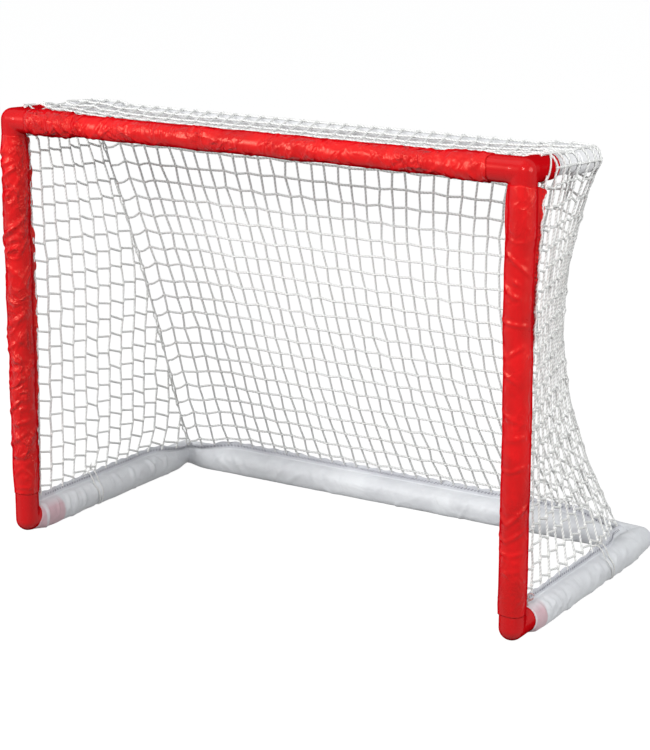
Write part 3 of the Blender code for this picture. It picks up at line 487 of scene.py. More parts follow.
def fitting_distance(points, corner, arms):
    """Distance of points from a fitting's skin: arms of (way, length) that meet in a ball, with fillets."""
    total = way = None
    for direction, length in arms:
        away = points - corner
        along = away @ direction
        across = away - along[:, None] * direction
        reach = np.maximum(np.linalg.norm(across, axis=1), 1e-9)
        far = np.maximum(np.linalg.norm(away, axis=1), 1e-9)
        behind = along < 0
        out = np.where(behind[:, None], away / far[:, None], across / reach[:, None])
        side, ahead = reach - (FITTING_RADIUS - RIM_ROUND), along - (length - RIM_ROUND)
        rim = np.hypot(np.maximum(side, 0), np.maximum(ahead, 0))
        mouth = rim + np.minimum(np.maximum(side, ahead), 0) - RIM_ROUND
        gap = np.where(behind, far - FITTING_RADIUS, mouth)
        if total is None:
            total, way = gap, out
            continue
        turned = np.clip(1 - (way * out).sum(1), 0, 1)
        near = np.clip(FILLET - np.abs(total - gap), 0, None) / FILLET
        way = np.where((gap < total)[:, None], out, way)
        total = np.minimum(total, gap) - near ** 2 * FILLET / 4 * turned
    return total


def moulded_fitting(name, node, corner, arms, finish, slot):
    """A corner fitting in one smooth skin, with fillets where its arms meet."""
    bm = bmesh.new()
    bmesh.ops.create_icosphere(bm, subdivisions=4, radius=FITTING_RADIUS)
    for direction, length in arms:
        turn = Vector(direction).to_track_quat("Z", "Y").to_matrix().to_4x4()
        turn.translation = Vector(direction) * length / 2
        bmesh.ops.create_cone(bm, cap_ends=True, segments=64, radius1=FITTING_RADIUS,
                              radius2=FITTING_RADIUS, depth=length, matrix=turn)
    bmesh.ops.translate(bm, vec=corner, verts=bm.verts)
    mesh = bpy.data.meshes.new(name)
    bm.to_mesh(mesh)
    bm.free()
    rough = new_object(name + "_rough", mesh)
    remesh = rough.modifiers.new("skin", "REMESH")
    remesh.mode, remesh.voxel_size = "VOXEL", VOXEL
    made = evaluated_mesh(rough)
    points = np.empty(len(made.vertices) * 3)
    made.vertices.foreach_get("co", points)
    points = points.reshape(-1, 3)
    centre = np.array(corner)
    ways = [(np.array(direction), length) for direction, length in arms]
    step = 1e-5
    for _ in range(4):
        here = fitting_distance(points, centre, ways)
        ahead = [fitting_distance(points + step * axis, centre, ways) - here for axis in np.eye(3)]
        slope = np.stack(ahead, 1) / step
        size = np.maximum(np.linalg.norm(slope, axis=1), 0.3)
        points -= slope / size[:, None] * np.clip(here / size, -0.001, 0.001)[:, None]
    made.vertices.foreach_set("co", points.ravel())
    made.update()
    made.name = name
    return finished(name, made, slot, finish, [node])


def drawn_tube(name, node, start, end, finish, slot):
    """A round tube with a bevelled rim and a bore."""
    along = (end - start).normalized()
    length = (end - start).length
    across = along.orthogonal().normalized()
    upright = along.cross(across)
    bore = TUBE_RADIUS - TUBE_WALL
    profile = [(0, bore), (0, TUBE_RADIUS - BEVEL), (BEVEL, TUBE_RADIUS)]
    profile += [(lerp(BEVEL, length - BEVEL, k / 12), TUBE_RADIUS) for k in range(1, 13)]
    profile += [(length, TUBE_RADIUS - BEVEL), (length, bore)]
    sides = 64
    vertices, faces = [], []
    for run, radius in profile:
        for k in range(sides):
            turn = math.tau * k / sides
            out = across * math.cos(turn) + upright * math.sin(turn)
            vertices.append(start + along * run + out * radius)
    for j in range(len(profile)):
        here, there = j * sides, (j + 1) % len(profile) * sides
        for k in range(sides):
            n = (k + 1) % sides
            faces.append((here + k, here + n, there + n, there + k))
    mesh = bpy.data.meshes.new(name)
    mesh.from_pydata(vertices, [], faces)
    finished(name, outward(mesh), slot, finish, [node])
    mesh.set_sharp_from_angle(angle=math.radians(35))


def build_fittings(red, white):
    for side, sign in SIDES.items():
        inward = RIGHT * -sign
        top, foot, rear = mirrored((TOP_CORNER, FOOT_CORNER, TOP_REAR_CORNER), sign)
        moulded_fitting(f"red_corner_{side}", f"top_corner_{side}", top,
                        [(inward, FRONT_ARM), (-UP, FRONT_ARM), (TOP_RUN, SIDE_ARM)], red, "red_plastic")
        moulded_fitting(f"red_foot_{side}", f"foot_elbow_{side}", foot,
                        [(UP, FRONT_ARM), (BACK, FRONT_ARM)], red, "red_plastic")
        moulded_fitting(f"white_corner_{side}", f"top_rear_elbow_{side}", rear,
                        [(inward, REAR_ARM), (-TOP_RUN, REAR_ARM)], white, "white_plastic")
        drawn_tube(f"white_top_side_tube_{side}", f"top_side_tube_{side}", top + TOP_RUN * SOCKET_DEPTH,
                   rear - TOP_RUN * SOCKET_DEPTH, white, "white_plastic")
    end = TOP_REAR_CORNER - RIGHT * SOCKET_DEPTH
    ends = mirrored([end], -1) + [end]
    drawn_tube("white_top_rear_tube", "top_rear_tube", *ends, white, "white_plastic")


# Creases of the cloth

def creases(seed, span, count, length, height, width, slant, facing=(0, math.tau)):
    """Seeded creases as (along, turn, end along, end turn, height, width), at a slant to the tube."""
    rng = np.random.default_rng(seed)
    made = []
    for _ in range(count):
        along, turn = rng.uniform(*span), rng.uniform(*facing)
        reach = rng.uniform(*length)
        lean = rng.uniform(*slant) * rng.choice((-1, 1))
        run, swing = reach * math.cos(lean), reach * math.sin(lean) / CREASE_ROUND
        made.append((along, turn, along + run, turn + swing, rng.uniform(*height), rng.uniform(*width)))
    return made


def crease_height(made, along, turn, radius):
    """Radial lift of all creases at arrays of places on a sleeve."""
    lift = np.zeros_like(along)
    for start, start_turn, end, end_turn, height, width in made:
        side = ((turn - start_turn + math.pi) % math.tau - math.pi) * radius
        ahead = along - start
        run, swing = end - start, (end_turn - start_turn) * radius
        share = np.clip((ahead * run + side * swing) / (run * run + swing * swing), 0, 1)
        gap = np.hypot(ahead - share * run, side - share * swing)
        fade = np.sin(math.pi * (0.1 + 0.8 * share))
        lift += height * fade * (np.exp(-(gap / width) ** 2) - 0.42 * np.exp(-(gap / (2.3 * width)) ** 2))
    return lift


def swell(seed, along, turn, depth, pitch):
    """Slow loose waves along and round a sleeve."""
    rng = np.random.default_rng(seed)
    lift = np.zeros_like(along)
    for _ in range(7):
        wave = rng.uniform(0.6, 1.8) / pitch
        around = rng.integers(0, 4)
        lift += np.sin(math.tau * wave * along + around * turn + rng.uniform(0, math.tau))
    return lift * depth / 7 ** 0.5


def folds(made, radius, seed, depth, pitch):
    """The lift of creases and waves together, as a function of places on a sleeve."""
    def fold(along, turn):
        return crease_height(made, along, turn, radius) + swell(seed, along, turn, depth, pitch)

    return fold


def pleats(*rows, deeper=1.0):
    """Creases placed one by one, from (along, turn in degrees, end, end turn, height in mm, width in mm)."""
    return [(a, math.radians(b), c, math.radians(d), height * deeper / 1000, width / 1000)
            for a, b, c, d, height, width in rows]


# Sleeves

def hem_outline(hem_turn, radius, tip):
    """Turns and radii round a sleeve with its hem, and how far each lies up the hem (0 to 1)."""
    half = HEM_THICKNESS / 2
    stages = [0, 0.2, 0.42, 0.62, 0.82, 0.95]
    reaches = [lerp(radius, tip, share) for share in stages]
    off = [math.asin(half / reach) for reach in reaches]
    foot = math.asin(half / radius)
    step = (math.tau - 2 * foot) / (ROUND_POINTS + 1)
    turns = [hem_turn - turn for turn in off] + [hem_turn] + [hem_turn + turn for turn in off[::-1]]
    turns += [hem_turn + foot + step * (k + 1) for k in range(ROUND_POINTS)]
    radii = reaches + [tip] + reaches[::-1] + [radius] * ROUND_POINTS
    rise = stages + [1.0] + stages[::-1] + [0.0] * ROUND_POINTS
    return np.array(turns), np.array(radii), np.array(rise)


def from_hem(turns, hem_turn, fade):
    """How loose the cloth is: 0 at the hem and 1 away from it."""
    away = np.abs((turns - hem_turn + math.pi) % math.tau - math.pi)
    return np.clip((away - HEM_HOLD) / fade, 0, 1)


def around_of(ring):
    """Places round a ring, for the UV map."""
    around = [0.0]
    for j in range(len(ring)):
        around.append(around[-1] + (ring[(j + 1) % len(ring)] - ring[j]).length)
    return around


def skin(name, outer, inner, around, along):
    """A closed cloth wall between two grids of points, with a UV map in metres."""
    columns, end = len(outer[0]), len(outer) - 1
    faces, uvs = [], []

    def quad(*corners):
        faces.append([(wall * len(outer) + i) * columns + j % columns for wall, i, j in corners])
        uvs.extend((around[j], along[i]) for _, i, j in corners)

    for i in range(end):
        for j in range(columns):
            quad((0, i, j), (0, i, j + 1), (0, i + 1, j + 1), (0, i + 1, j))
            quad((1, i, j + 1), (1, i, j), (1, i + 1, j), (1, i + 1, j + 1))
    for j in range(columns):
        quad((0, 0, j + 1), (0, 0, j), (1, 0, j), (1, 0, j + 1))
    for j in range(columns):
        quad((1, end, j + 1), (1, end, j), (0, end, j), (0, end, j + 1))
    mesh = bpy.data.meshes.new(name)
    mesh.from_pydata([point for ring in outer + inner for point in ring], [], faces)
    layer = mesh.uv_layers.new(name="cloth")
    layer.data.foreach_set("uv", np.array(uvs, np.float32).ravel())
    return outward(mesh)


def gathered(name, mesh, slot, finish, node):
    piece = finished(name, mesh, slot, finish, [node])


def flap_turn(z, side):
    """How far the flap of a post's sleeve is turned out of straight back."""
    return math.radians(np.interp(z, FLAP_PLACES[side], FLAP_TURNS[side]))


def flap_height(share):
    """Height of a post's flap, lower at its foot."""
    return lerp(FLAP_FOOT, HEM_HEIGHT, smooth(share * 1.3))


def straight_sleeve(name, origin, axes, span, radius_at, hem, fold, rims, core_at, drift=None):
    """The mesh of a sleeve on a straight tube. Turn 0 is upright, a quarter turn is across.

    axes are (along, across, upright). radius_at gives the sleeve's radius along it, and core_at what
    stands inside. hem is (turn, height, wave) and fold the lift of its creases, all along the sleeve.
    rims are how far its two ends reach, by turn. drift is how far it hangs off its tube.
    """
    axis, across, upright = axes
    low, high = span
    stations = np.linspace(low, high, round((high - low) / RING_SPACING) + 1)
    hem_turn_at, hem_height, hem_wave = hem
    outer, inner = [], []
    for along in stations:
        radius, hem_turn = radius_at(along), hem_turn_at(along)
        turns, radii, rise = hem_outline(hem_turn, radius, radius + hem_height(along))
        shift = drift(along) if drift else Vector()
        room = max(radius - CLOTH - core_at(along) - SLEEVE_ROOM - shift.length, 0)
        lift = fold(np.full_like(turns, along), turns) * from_hem(turns, hem_turn, 0.35)
        full = radii + np.maximum(lift, -room)
        bent = turns + hem_wave(along) * rise ** 1.5 / np.maximum(radii, 0.001)
        ends = [max(1 - from_end / RIM_RUN, 0) for from_end in (along - low, high - along)]
        slip = rims[0](turns) * ends[0] + rims[1](turns) * ends[1]
        wall = min(CLOTH, radius - core_at(along) - 0.0001)
        within = np.where(rise > 0, radius, full) - wall
        centre = origin + shift
        for rings, ring_turns, reaches in ((outer, bent, full), (inner, turns, within)):
            rings.append([
                centre + axis * (along + s) + across * (r * math.sin(t)) + upright * (r * math.cos(t))
                for t, r, s in zip(ring_turns, reaches, slip)
            ])
    return skin(name, outer, inner, around_of(outer[len(outer) // 2]), list(stations))


def near_fitting(distance, arm=FRONT_ARM):
    """1 on a fitting's arm and 0 on the bare tube."""
    return 1 - smooth((distance - arm) / ARM_FADE)


LEFT_POST_PLEATS = pleats(
    (0.541, 120, 0.546, 185, -2.6, 3.6), (0.528, 128, 0.540, 215, 1.6, 3.4),
    (0.506, 122, 0.532, 222, 2.4, 3.2), (0.494, 125, 0.503, 205, -2.2, 3.4),
    (0.489, 165, 0.494, 200, 1.8, 3.8), (0.478, 175, 0.482, 215, 1.2, 3.0),
    (0.424, 118, 0.462, 262, 2.8, 3.6), (0.414, 122, 0.424, 220, -2.4, 3.8),
    (0.452, 200, 0.436, 262, 1.4, 3.2), (0.395, 150, 0.372, 240, 0.9, 4.4),
    (0.345, 140, 0.330, 250, 0.8, 4.6), (0.300, 135, 0.322, 235, 1.4, 3.6),
    (0.266, 128, 0.288, 225, 1.8, 3.4), (0.243, 125, 0.252, 240, -1.6, 3.6),
    (0.214, 140, 0.238, 262, 1.7, 3.6), (0.178, 130, 0.200, 215, 1.6, 3.2),
    (0.160, 150, 0.170, 250, 1.5, 3.4), (0.128, 128, 0.152, 230, 1.9, 3.4),
    (0.108, 140, 0.112, 240, -1.6, 3.4), (0.082, 150, 0.100, 205, 1.2, 3.0),
    (0.100, 205, 0.082, 262, 1.2, 3.0), (0.067, 128, 0.071, 262, 0.8, 2.6), deeper=1.7,
)
RIGHT_POST_PLEATS = pleats(
    (0.518, 244, 0.509, 172, 0.9, 2.6), (0.509, 172, 0.510, 130, 0.9, 2.6),
    (0.510, 130, 0.517, 82, 0.8, 2.6), (0.506, 244, 0.462, 82, 1.1, 2.8), (0.464, 176, 0.457, 150, 1.3, 3.2),
    (0.458, 222, 0.449, 196, 1.4, 3.0), (0.449, 205, 0.441, 150, 0.9, 3.0),
    (0.413, 240, 0.406, 85, 0.9, 2.8), (0.380, 232, 0.367, 205, 1.0, 2.6),
    (0.367, 205, 0.383, 130, 1.0, 2.6), (0.352, 236, 0.336, 150, 0.7, 3.2),
    (0.300, 238, 0.286, 130, 0.7, 3.4), (0.262, 232, 0.272, 100, 0.6, 3.6),
    (0.227, 236, 0.2245, 175, 0.9, 2.8), (0.2245, 175, 0.232, 118, 0.9, 2.8),
    (0.1706, 238, 0.1555, 185, 0.9, 3.0), (0.1555, 185, 0.182, 100, 1.4, 2.8),
    (0.1416, 240, 0.134, 188, 1.3, 2.4), (0.134, 188, 0.1516, 108, 1.2, 2.6),
    (0.1214, 238, 0.1164, 170, 0.8, 2.8), (0.1164, 170, 0.1214, 112, 0.7, 2.8),
    (0.092, 236, 0.098, 110, 0.5, 3.4), (0.0570, 246, 0.0572, 66, 0.35, 1.6),
    (0.575, 250, 0.500, 256, 2.6, 6.5), deeper=2.0,
)


def post_sleeve(side, finish):
    """The red sleeve of a post. The left one is rumpled all over, and the right one has a few soft folds."""
    left, sign = side == "left", SIDES[side]
    low, high = POST_SLEEVE_FOOT[side], BAR_AXIS - POST_SLEEVE_GAP[side]
    seed = 11 if left else 23
    full = POST_SLEEVE_RADIUS + (0.0005 if left else 0)
    if left:
        made = creases(seed, (low, high), 110, (0.012, 0.040), (0.0005, 0.0017), (0.0020, 0.0036),
                       (0.5, 1.2)) + LEFT_POST_PLEATS
    else:
        made = creases(seed, (0.36, 0.52), 22, (0.010, 0.030), (0.0002, 0.0006), (0.0018, 0.0034),
                       (0.6, 1.3))
        made += creases(seed + 1, (0.06, 0.34), 26, (0.02, 0.05), (0.0002, 0.0005), (0.0026, 0.0046),
                        (0.6, 1.3)) + RIGHT_POST_PLEATS
    fold = folds(made, POST_SLEEVE_RADIUS, seed + 5, 0.0006 if left else 0.00025, 0.09)

    def radius_at(z):
        if left and high - z < 0.03:
            return lerp(FLUSH_RADIUS, full, smooth((high - z) / 0.024))
        return lerp(SNUG_RADIUS, full, smooth(min(z - low, high - z) / 0.014))

    def hem_height(z):
        scallop = 0.0010 * math.sin(math.tau * z / 0.0225 + 1)
        rounded = smooth((high - z) / 0.006 + 0.25)
        return (flap_height((z - low) / (high - low)) + scallop) * rounded

    def wag(z):
        return 0.0010 * math.sin(z * 61 + seed) + 0.0007 * math.sin(z * 143)

    def core_at(z):
        inside = max(near_fitting(z - BASE_AXIS), near_fitting(BAR_AXIS - z))
        return lerp(TUBE_RADIUS, FITTING_RADIUS, inside)

    def drift(z):
        upper = smooth((z - 0.30) / 0.12) * smooth((BAR_AXIS - 0.074 - z) / 0.03)
        return Vector() if left else RIGHT * -lerp(0.0004, 0.0030, upper)

    def head(turns):
        ahead = np.clip(np.cos(turns - math.pi), 0, 1)
        return 0.0050 * ahead ** 0.7 + 0.0006 * np.sin(5 * turns)

    def foot(turns):
        return 0.0006 * np.sin(3 * turns + seed)

    name = f"red_post_sleeve_{side}"
    origin = Vector((sign * HALF_WIDTH, FRONT, 0))
    mesh = straight_sleeve(name, origin, (UP, RIGHT * sign, BACK), (low, high), radius_at,
                           (lambda z: flap_turn(z, side), hem_height, wag), fold, (foot, head), core_at,
                           drift)
    gathered(name, mesh, "red_nylon", finish, f"post_sleeve_{side}")


def bar_radius(x):
    """Close on the tube, and drawn over the fittings at both ends."""
    shoulder = HALF_WIDTH - FRONT_ARM - 0.006
    return lerp(BAR_SLEEVE_RADIUS, BAR_FLARE_RADIUS, smooth((abs(x) - shoulder + 0.020) / 0.020))


def crossbar_sleeve(finish):
    """The red sleeve of the crossbar, rumpled all along, with large folds at its ends."""
    left, right = -HALF_WIDTH + BAR_SLEEVE_GAP["left"], HALF_WIDTH - BAR_SLEEVE_GAP["right"] + 0.006
    made = creases(31, (left, -0.22), 75, (0.014, 0.040), (0.0009, 0.0024), (0.0018, 0.0032), (0.7, 1.2))
    made += creases(32, (-0.24, right), 260, (0.008, 0.028), (0.0004, 0.0015), (0.0015, 0.0028), (0.6, 1.2))
    made += creases(33, (0.2, right), 30, (0.014, 0.036), (0.0007, 0.0018), (0.0018, 0.0030), (0.7, 1.2))
    made += pleats((0.215, 195, 0.330, 172, 0.8, 2.4), (0.145, 200, 0.225, 190, 0.5, 2.4), deeper=1.4)
    fold = folds(made, BAR_SLEEVE_RADIUS, 37, 0.0004, 0.11)

    def radius_at(x):
        if x - left < 0.03:
            return min(bar_radius(x), lerp(FLUSH_RADIUS, 0.02, smooth((x - left) / 0.04)))
        return min(bar_radius(x), lerp(SNUG_RADIUS, 0.02, smooth((right - x) / 0.03)))

    def hem_turn(x):
        return math.pi / 2 - BAR_HEM_RISE

    def hem_height(x):
        return BAR_HEM_HEIGHT + 0.0006 * math.sin(math.tau * x / 0.0223)

    def wag(x):
        return 0.0010 * math.sin(x * 57) + 0.0006 * math.sin(x * 151)

    def core_at(x):
        return lerp(TUBE_RADIUS, FITTING_RADIUS, near_fitting(HALF_WIDTH - abs(x), FRONT_ARM - 0.02))

    def end(turns):
        return 0.0010 * np.sin(3 * turns + 0.7) + 0.0006 * np.sin(5 * turns + 2)

    name = "red_crossbar_sleeve"
    mesh = straight_sleeve(name, Vector((0, FRONT, BAR_AXIS)), (RIGHT, BACK, UP), (left, right), radius_at,
                           (hem_turn, hem_height, wag), fold, (end, end), core_at)
    gathered(name, mesh, "red_nylon", finish, "crossbar_sleeve")


def hem_lean(to_corner):
    """How far a base sleeve's hem leans in, by the distance to the corner."""
    return HEM_LEAN * smooth(1 - (to_corner - MITRE_START) / HEM_LEAN_RUN)


def hem_wag(place):
    """How far the tip of a base sleeve's hem waves aside."""
    return 0.0011 * math.sin(place * 57) + 0.0007 * math.sin(place * 139)


def base_spot(corner, along, inward, distance, bend, turn, radius, floor):
    """A point of a base sleeve. Its outer half swings round the corner, its inner half ends on the mitre."""
    reach, height = radius * math.sin(turn), corner.z + radius * math.cos(turn)
    if bend is None:
        spot = corner - along * distance + inward * reach
    elif reach >= 0:
        spot = corner - along * (reach + MITRE_LEAD / 2 * (1 - bend) + 0.0001) + inward * reach
    else:
        swing = math.pi / 4 * bend
        spot = corner + (inward * math.cos(swing) - along * math.sin(swing)) * reach
    return Vector((spot.x, spot.y, max(height, floor)))


def floor_sag(turn):
    """How far a base sleeve hangs out low down, by the turn from upright."""
    return math.exp(-((abs(turn) - SAG_TURN) / SAG_SPREAD) ** 2)


def base_sleeve_rings(corner, along, inward, start, stations, fold, waist=None, mouth=0):
    """Outer and inner rings of a base sleeve that runs to a corner.

    stations are (distance, bend), with a bend from 0 to 1 on the corner and none before it. waist is
    where a tie draws the sleeve in, and mouth how far its open end slants."""
    outer, inner = [], []
    for distance, bend in stations:
        straight = bend is None
        lean = hem_lean(distance if straight else 0)
        tight, slip, drawn = 0, 0, 0
        if straight:
            from_mouth = stations[0][0] - distance
            tight = smooth(distance / 0.05)
            if waist is not None:
                tight = min(tight, smooth(from_mouth / 0.010))
                slip = mouth * max(1 - from_mouth / 0.016, 0)
                drawn = TIE_DRAW * math.exp(-((distance - waist) / TIE_DRAW_RUN) ** 2)
        radius = lerp(SNUG_RADIUS, BASE_SLEEVE_RADIUS, tight)
        turns, radii, rise = hem_outline(lean, radius, HEM_TIP + 0.0008 * math.sin(distance * 270))
        low = (turns + math.pi) % math.tau - math.pi
        sag = FLOOR_SAG * np.array([floor_sag(turn) for turn in low])
        place = start - distance
        creased = np.maximum(fold(np.full_like(turns, place), turns), -DEEPEST_CREASE)
        lift = (creased * max(tight, 0.3) + sag * tight - drawn) * from_hem(turns, lean, 0.4)
        full = radii + lift * (1 if straight else 1 - bend)
        within = np.where(rise > 0, radius, full) - CLOTH
        bent = turns + hem_wag(place) * rise ** 1.5 / radii
        forward = distance + slip * (1 - np.cos(turns)) / 2
        for rings, ring_turns, reaches, floor in ((outer, bent, full, 0.0), (inner, turns, within, CLOTH)):
            rings.append([base_spot(corner, along, inward, d, bend, t, r, floor)
                          for d, t, r in zip(forward, ring_turns, reaches)])
    return outer, inner


def corner_run(open_end, start):
    """Stations of a base sleeve, from its open end or middle to its corner, and their places on the
    UV map."""
    count = round((open_end - MITRE_START) / RING_SPACING)
    distances = list(np.linspace(open_end, MITRE_START, count))
    places = [start - distance for distance in distances] + [start + 0.003 * k for k in range(CORNER_RINGS)]
    return [(distance, None) for distance in distances] + [(0, k / 7) for k in range(CORNER_RINGS)], places


BASE_PLEATS = {
    "left": pleats(
        (0.052, 20, 0.046, 118, 1.0, 2.4), (0.078, 22, 0.070, 112, 1.1, 3.4),
        (0.094, 24, 0.088, 105, 0.9, 3.4), (0.112, 20, 0.108, 120, 0.9, 3.6),
        (0.136, 18, 0.139, 110, 0.8, 2.8), (0.152, 18, 0.148, 110, 0.9, 2.8),
        (0.190, 22, 0.200, 125, 1.0, 4.0), (0.232, 20, 0.224, 118, 1.0, 4.2),
        (0.275, 25, 0.282, 120, 0.9, 4.0), (0.318, 22, 0.306, 115, 0.9, 3.8), deeper=2.5,
    ),
    "right": pleats(
        (0.052, 338, 0.062, 248, 1.2, 3.4), (0.064, 338, 0.077, 242, 1.3, 4.0),
        (0.079, 336, 0.090, 262, 1.1, 3.6), (0.090, 337, 0.106, 240, 1.2, 4.2),
        (0.112, 334, 0.118, 268, 0.8, 4.4), (0.146, 337, 0.160, 260, 0.9, 5.2),
        (0.192, 338, 0.184, 250, 0.9, 5.6), (0.221, 338, 0.236, 255, 1.0, 4.2),
        (0.272, 338, 0.290, 262, 0.9, 4.4), (0.312, 337, 0.300, 268, 1.0, 6.0),
        (0.340, 330, 0.352, 262, 0.9, 5.4), deeper=2.0,
    ),
}
BASE_MOUTH = {"left": 0.0185, "right": 0.0330}     # behind the front axis, at the top
MOUTH_SLIP = {"left": 0.0160, "right": 0.0010}     # further forward at the bottom


def base_side_sleeve(side, finish):
    """A white base sleeve, from its open mouth at the red foot to the rear corner."""
    corner = mirrored([BASE_CORNER], SIDES[side])[0]
    stations, places = corner_run(BASE_DEPTH - BASE_MOUTH[side], BASE_DEPTH)
    seed = 41 if side == "left" else 43
    made = creases(seed, (0.04, 0.36), 34, (0.014, 0.044), (0.0007, 0.0020), (0.0026, 0.0058), (0.5, 1.3))
    loose = folds(made + BASE_PLEATS[side], BASE_SLEEVE_RADIUS, seed + 3, 0.0005, 0.08)
    roll = 0.0282 if side == "left" else BASE_MOUTH[side] + 0.0016

    def fold(along, turn):
        return loose(along, turn) + 0.0018 * np.exp(-((along - roll) / 0.0012) ** 2)

    rings = base_sleeve_rings(corner, BACK, RIGHT * -SIDES[side], BASE_DEPTH, stations, fold,
                              BASE_DEPTH - BASE_TIE_PLACE[side], MOUTH_SLIP[side])
    name = f"white_base_sleeve_{side}"
    mesh = skin(name, *rings, around_of(rings[0][0]), places)
    gathered(name, mesh, "white_nylon", finish, f"base_sleeve_{side}")


def base_rear_sleeve(finish):
    """The white sleeve of the rear base tube, in two halves that meet in its middle."""
    made = creases(47, (0.06, 0.75), 60, (0.016, 0.050), (0.0007, 0.0019), (0.0026, 0.0060), (0.5, 1.3))
    made += pleats(
        (0.024, 20, 0.020, 110, 1.3, 2.8), (0.034, 20, 0.031, 105, 1.2, 2.8),
        (0.045, 18, 0.043, 110, 1.2, 2.8), (0.062, 118, 0.088, 18, 1.5, 3.2),
        (0.118, 20, 0.130, 95, 0.9, 3.6), (0.168, 22, 0.160, 100, 0.8, 3.8),
    )
    fold = folds(made, BASE_SLEEVE_RADIUS, 48, 0.0004, 0.10)
    stations, places = corner_run(HALF_WIDTH, HALF_WIDTH)
    halves = []
    for sign in (-1, 1):
        corner = mirrored([BASE_CORNER], sign)[0]
        halves.append(base_sleeve_rings(corner, RIGHT * sign, -BACK, HALF_WIDTH, stations,
                                        lambda along, turn: fold(HALF_WIDTH + sign * along, turn)))
    outer, inner = (left[::-1] + right[1:] for left, right in zip(*halves))
    along = [-place for place in places[::-1]] + places[1:]
    name = "white_base_sleeve_rear"
    mesh = skin(name, outer, inner, around_of(outer[len(outer) // 2]), along)
    gathered(name, mesh, "white_nylon", finish, "base_sleeve_rear")


# Net: the surfaces that it hangs in

def side_radius(run):
    """Round a top side tube: out on its fittings, close on the bare tube between them."""
    near = smooth((run - FRONT_ARM) / NET_STEP)
    far = smooth((TOP_RUN_LENGTH - REAR_ARM - run) / NET_STEP)
    return lerp(NET_ON_FITTING, NET_ON_TUBE, min(near, far))


def ball_point(turn, rise):
    """Round the top rear corner."""
    level = RIGHT * math.cos(turn) + BACK * math.sin(turn)
    return TOP_REAR_CORNER + (level * math.cos(rise) + UP * math.sin(rise)) * NET_ON_FITTING


def side_tube_point(run, rise, radius=None):
    """Round the top side tube, this far back along it."""
    along = TOP_CORNER + TOP_RUN * run
    return along + (RIGHT * math.cos(rise) + UP * math.sin(rise)) * (radius or side_radius(run))


def rear_tube_point(x, rise):
    """Round the top rear tube."""
    radius = lerp(NET_ON_FITTING, NET_ON_TUBE, smooth((HALF_WIDTH - REAR_ARM - abs(x)) / NET_STEP))
    return Vector((x, TOP_REAR + radius * math.cos(rise), REAR_TOP_AXIS + radius * math.sin(rise)))


def seam_point(share):
    """The right corner seam: up the net (0 to 1), over the corner (to 2) and forward along the top
    (to 3)."""
    if share <= 1:
        low, high = SEAM_LOW, ball_point(SEAM_TURN, -WRAP_STEP)
        return Vector((
            lerp(low.x, high.x, share ** 3) - SEAM_DRAW_IN * math.sin(math.pi * share),
            lerp(high.y, low.y, (1 - share) ** 2),
            lerp(low.z, high.z, share),
        ))
    if share <= 2:
        rise = lerp(-WRAP_STEP, SEAM_RISE, share - 1)
        return ball_point(SEAM_TURN * max(1 - max(rise, 0) / SEAM_RISE, 0) ** SEAM_SWEEP, rise)
    return top_edge_point(share - 2)


def top_edge_point(share):
    """The right edge of the net's top, from the rear to the crossbar."""
    return side_tube_point(lerp(TOP_RUN_LENGTH, POST_HEM_TIP, share), SEAM_RISE)


def base_hem_point(to_corner):
    """How far in and how high the net meets a base sleeve's hem."""
    lean = hem_lean(to_corner)
    return NET_HEM_REACH * math.sin(lean), BASE_AXIS + NET_HEM_REACH * math.cos(lean)


def crossbar_hem_point(x):
    reach = bar_radius(x) + BAR_HEM_HEIGHT - 0.001
    if x > HALF_WIDTH - BAR_SLEEVE_GAP["right"] or x < -HALF_WIDTH + BAR_SLEEVE_GAP["left"]:
        reach = NET_ON_FITTING
    return Vector((x, FRONT + reach * math.cos(BAR_HEM_RISE), BAR_AXIS + reach * math.sin(BAR_HEM_RISE)))


def back_point(u, w):
    """The back and top of the net. u runs across from -1 to 1. w runs up the back (0 to 1), round the
    rear top tube (to 2) and forward to the crossbar (to 3)."""
    if abs(u) > 1 - 1e-9:
        return mirrored([seam_point(w)], 1 if u >= 0 else -1)[0]
    x = u * HALF_WIDTH
    if w <= 1:
        low_x = u * (HALF_WIDTH - SEAM_FOOT)
        inset, height = base_hem_point(HALF_WIDTH - abs(low_x))
        point = Vector((low_x, REAR - inset, height)).lerp(rear_tube_point(x, -WRAP_STEP), w)
        drawn = seam_point(w) - seam_point(0).lerp(seam_point(1), w)
        point.x += u * drawn.x
        point.y += drawn.y + BACK_BELLY * (1 - u ** 4) * math.sin(math.pi * w)
        return point
    if w <= 2:
        return rear_tube_point(x, lerp(-WRAP_STEP, math.pi / 2, w - 1))
    share = w - 2
    point = rear_tube_point(x, math.pi / 2).lerp(crossbar_hem_point(x), share)
    sag = TOP_SAG * math.sin(math.pi * share) * (1 - abs(u) ** 4)
    point.z = lerp(point.z - sag, top_edge_point(share).z, abs(u) ** 12)
    return point


def side_front(v, side):
    """The front edge of a side net on the right, up the flap that the post's sleeve has on that side."""
    head = BAR_AXIS - NET_ON_FITTING * math.sin(WRAP_STEP)
    z = lerp(BASE_AXIS + NET_HEM_REACH, head, v)
    turn = flap_turn(z, side)
    free = smooth((v - 0.955) / 0.045)
    x = lerp(NET_FLAP_REACH * math.sin(turn), NET_ON_FITTING * math.cos(WRAP_STEP), free)
    y = lerp(NET_FLAP_REACH * math.cos(turn), NET_FLAP_REACH, free)
    return Vector((HALF_WIDTH + x, FRONT + y, z))


def side_patch(y, v, side):
    """A side's front edge and its seam at a height, and the share of the way from one to the other."""
    front, seam = side_front(v, side), seam_point(v)
    return front, seam, min(max((y - front.y) / (seam.y - front.y), 0), 1)


def patch_gap(wanted, front, seam, share):
    """From the plain patch between them to where the net has to be."""
    return wanted - Vector((lerp(front.x, seam.x, share ** 1.15), wanted.y, lerp(front.z, seam.z, share)))


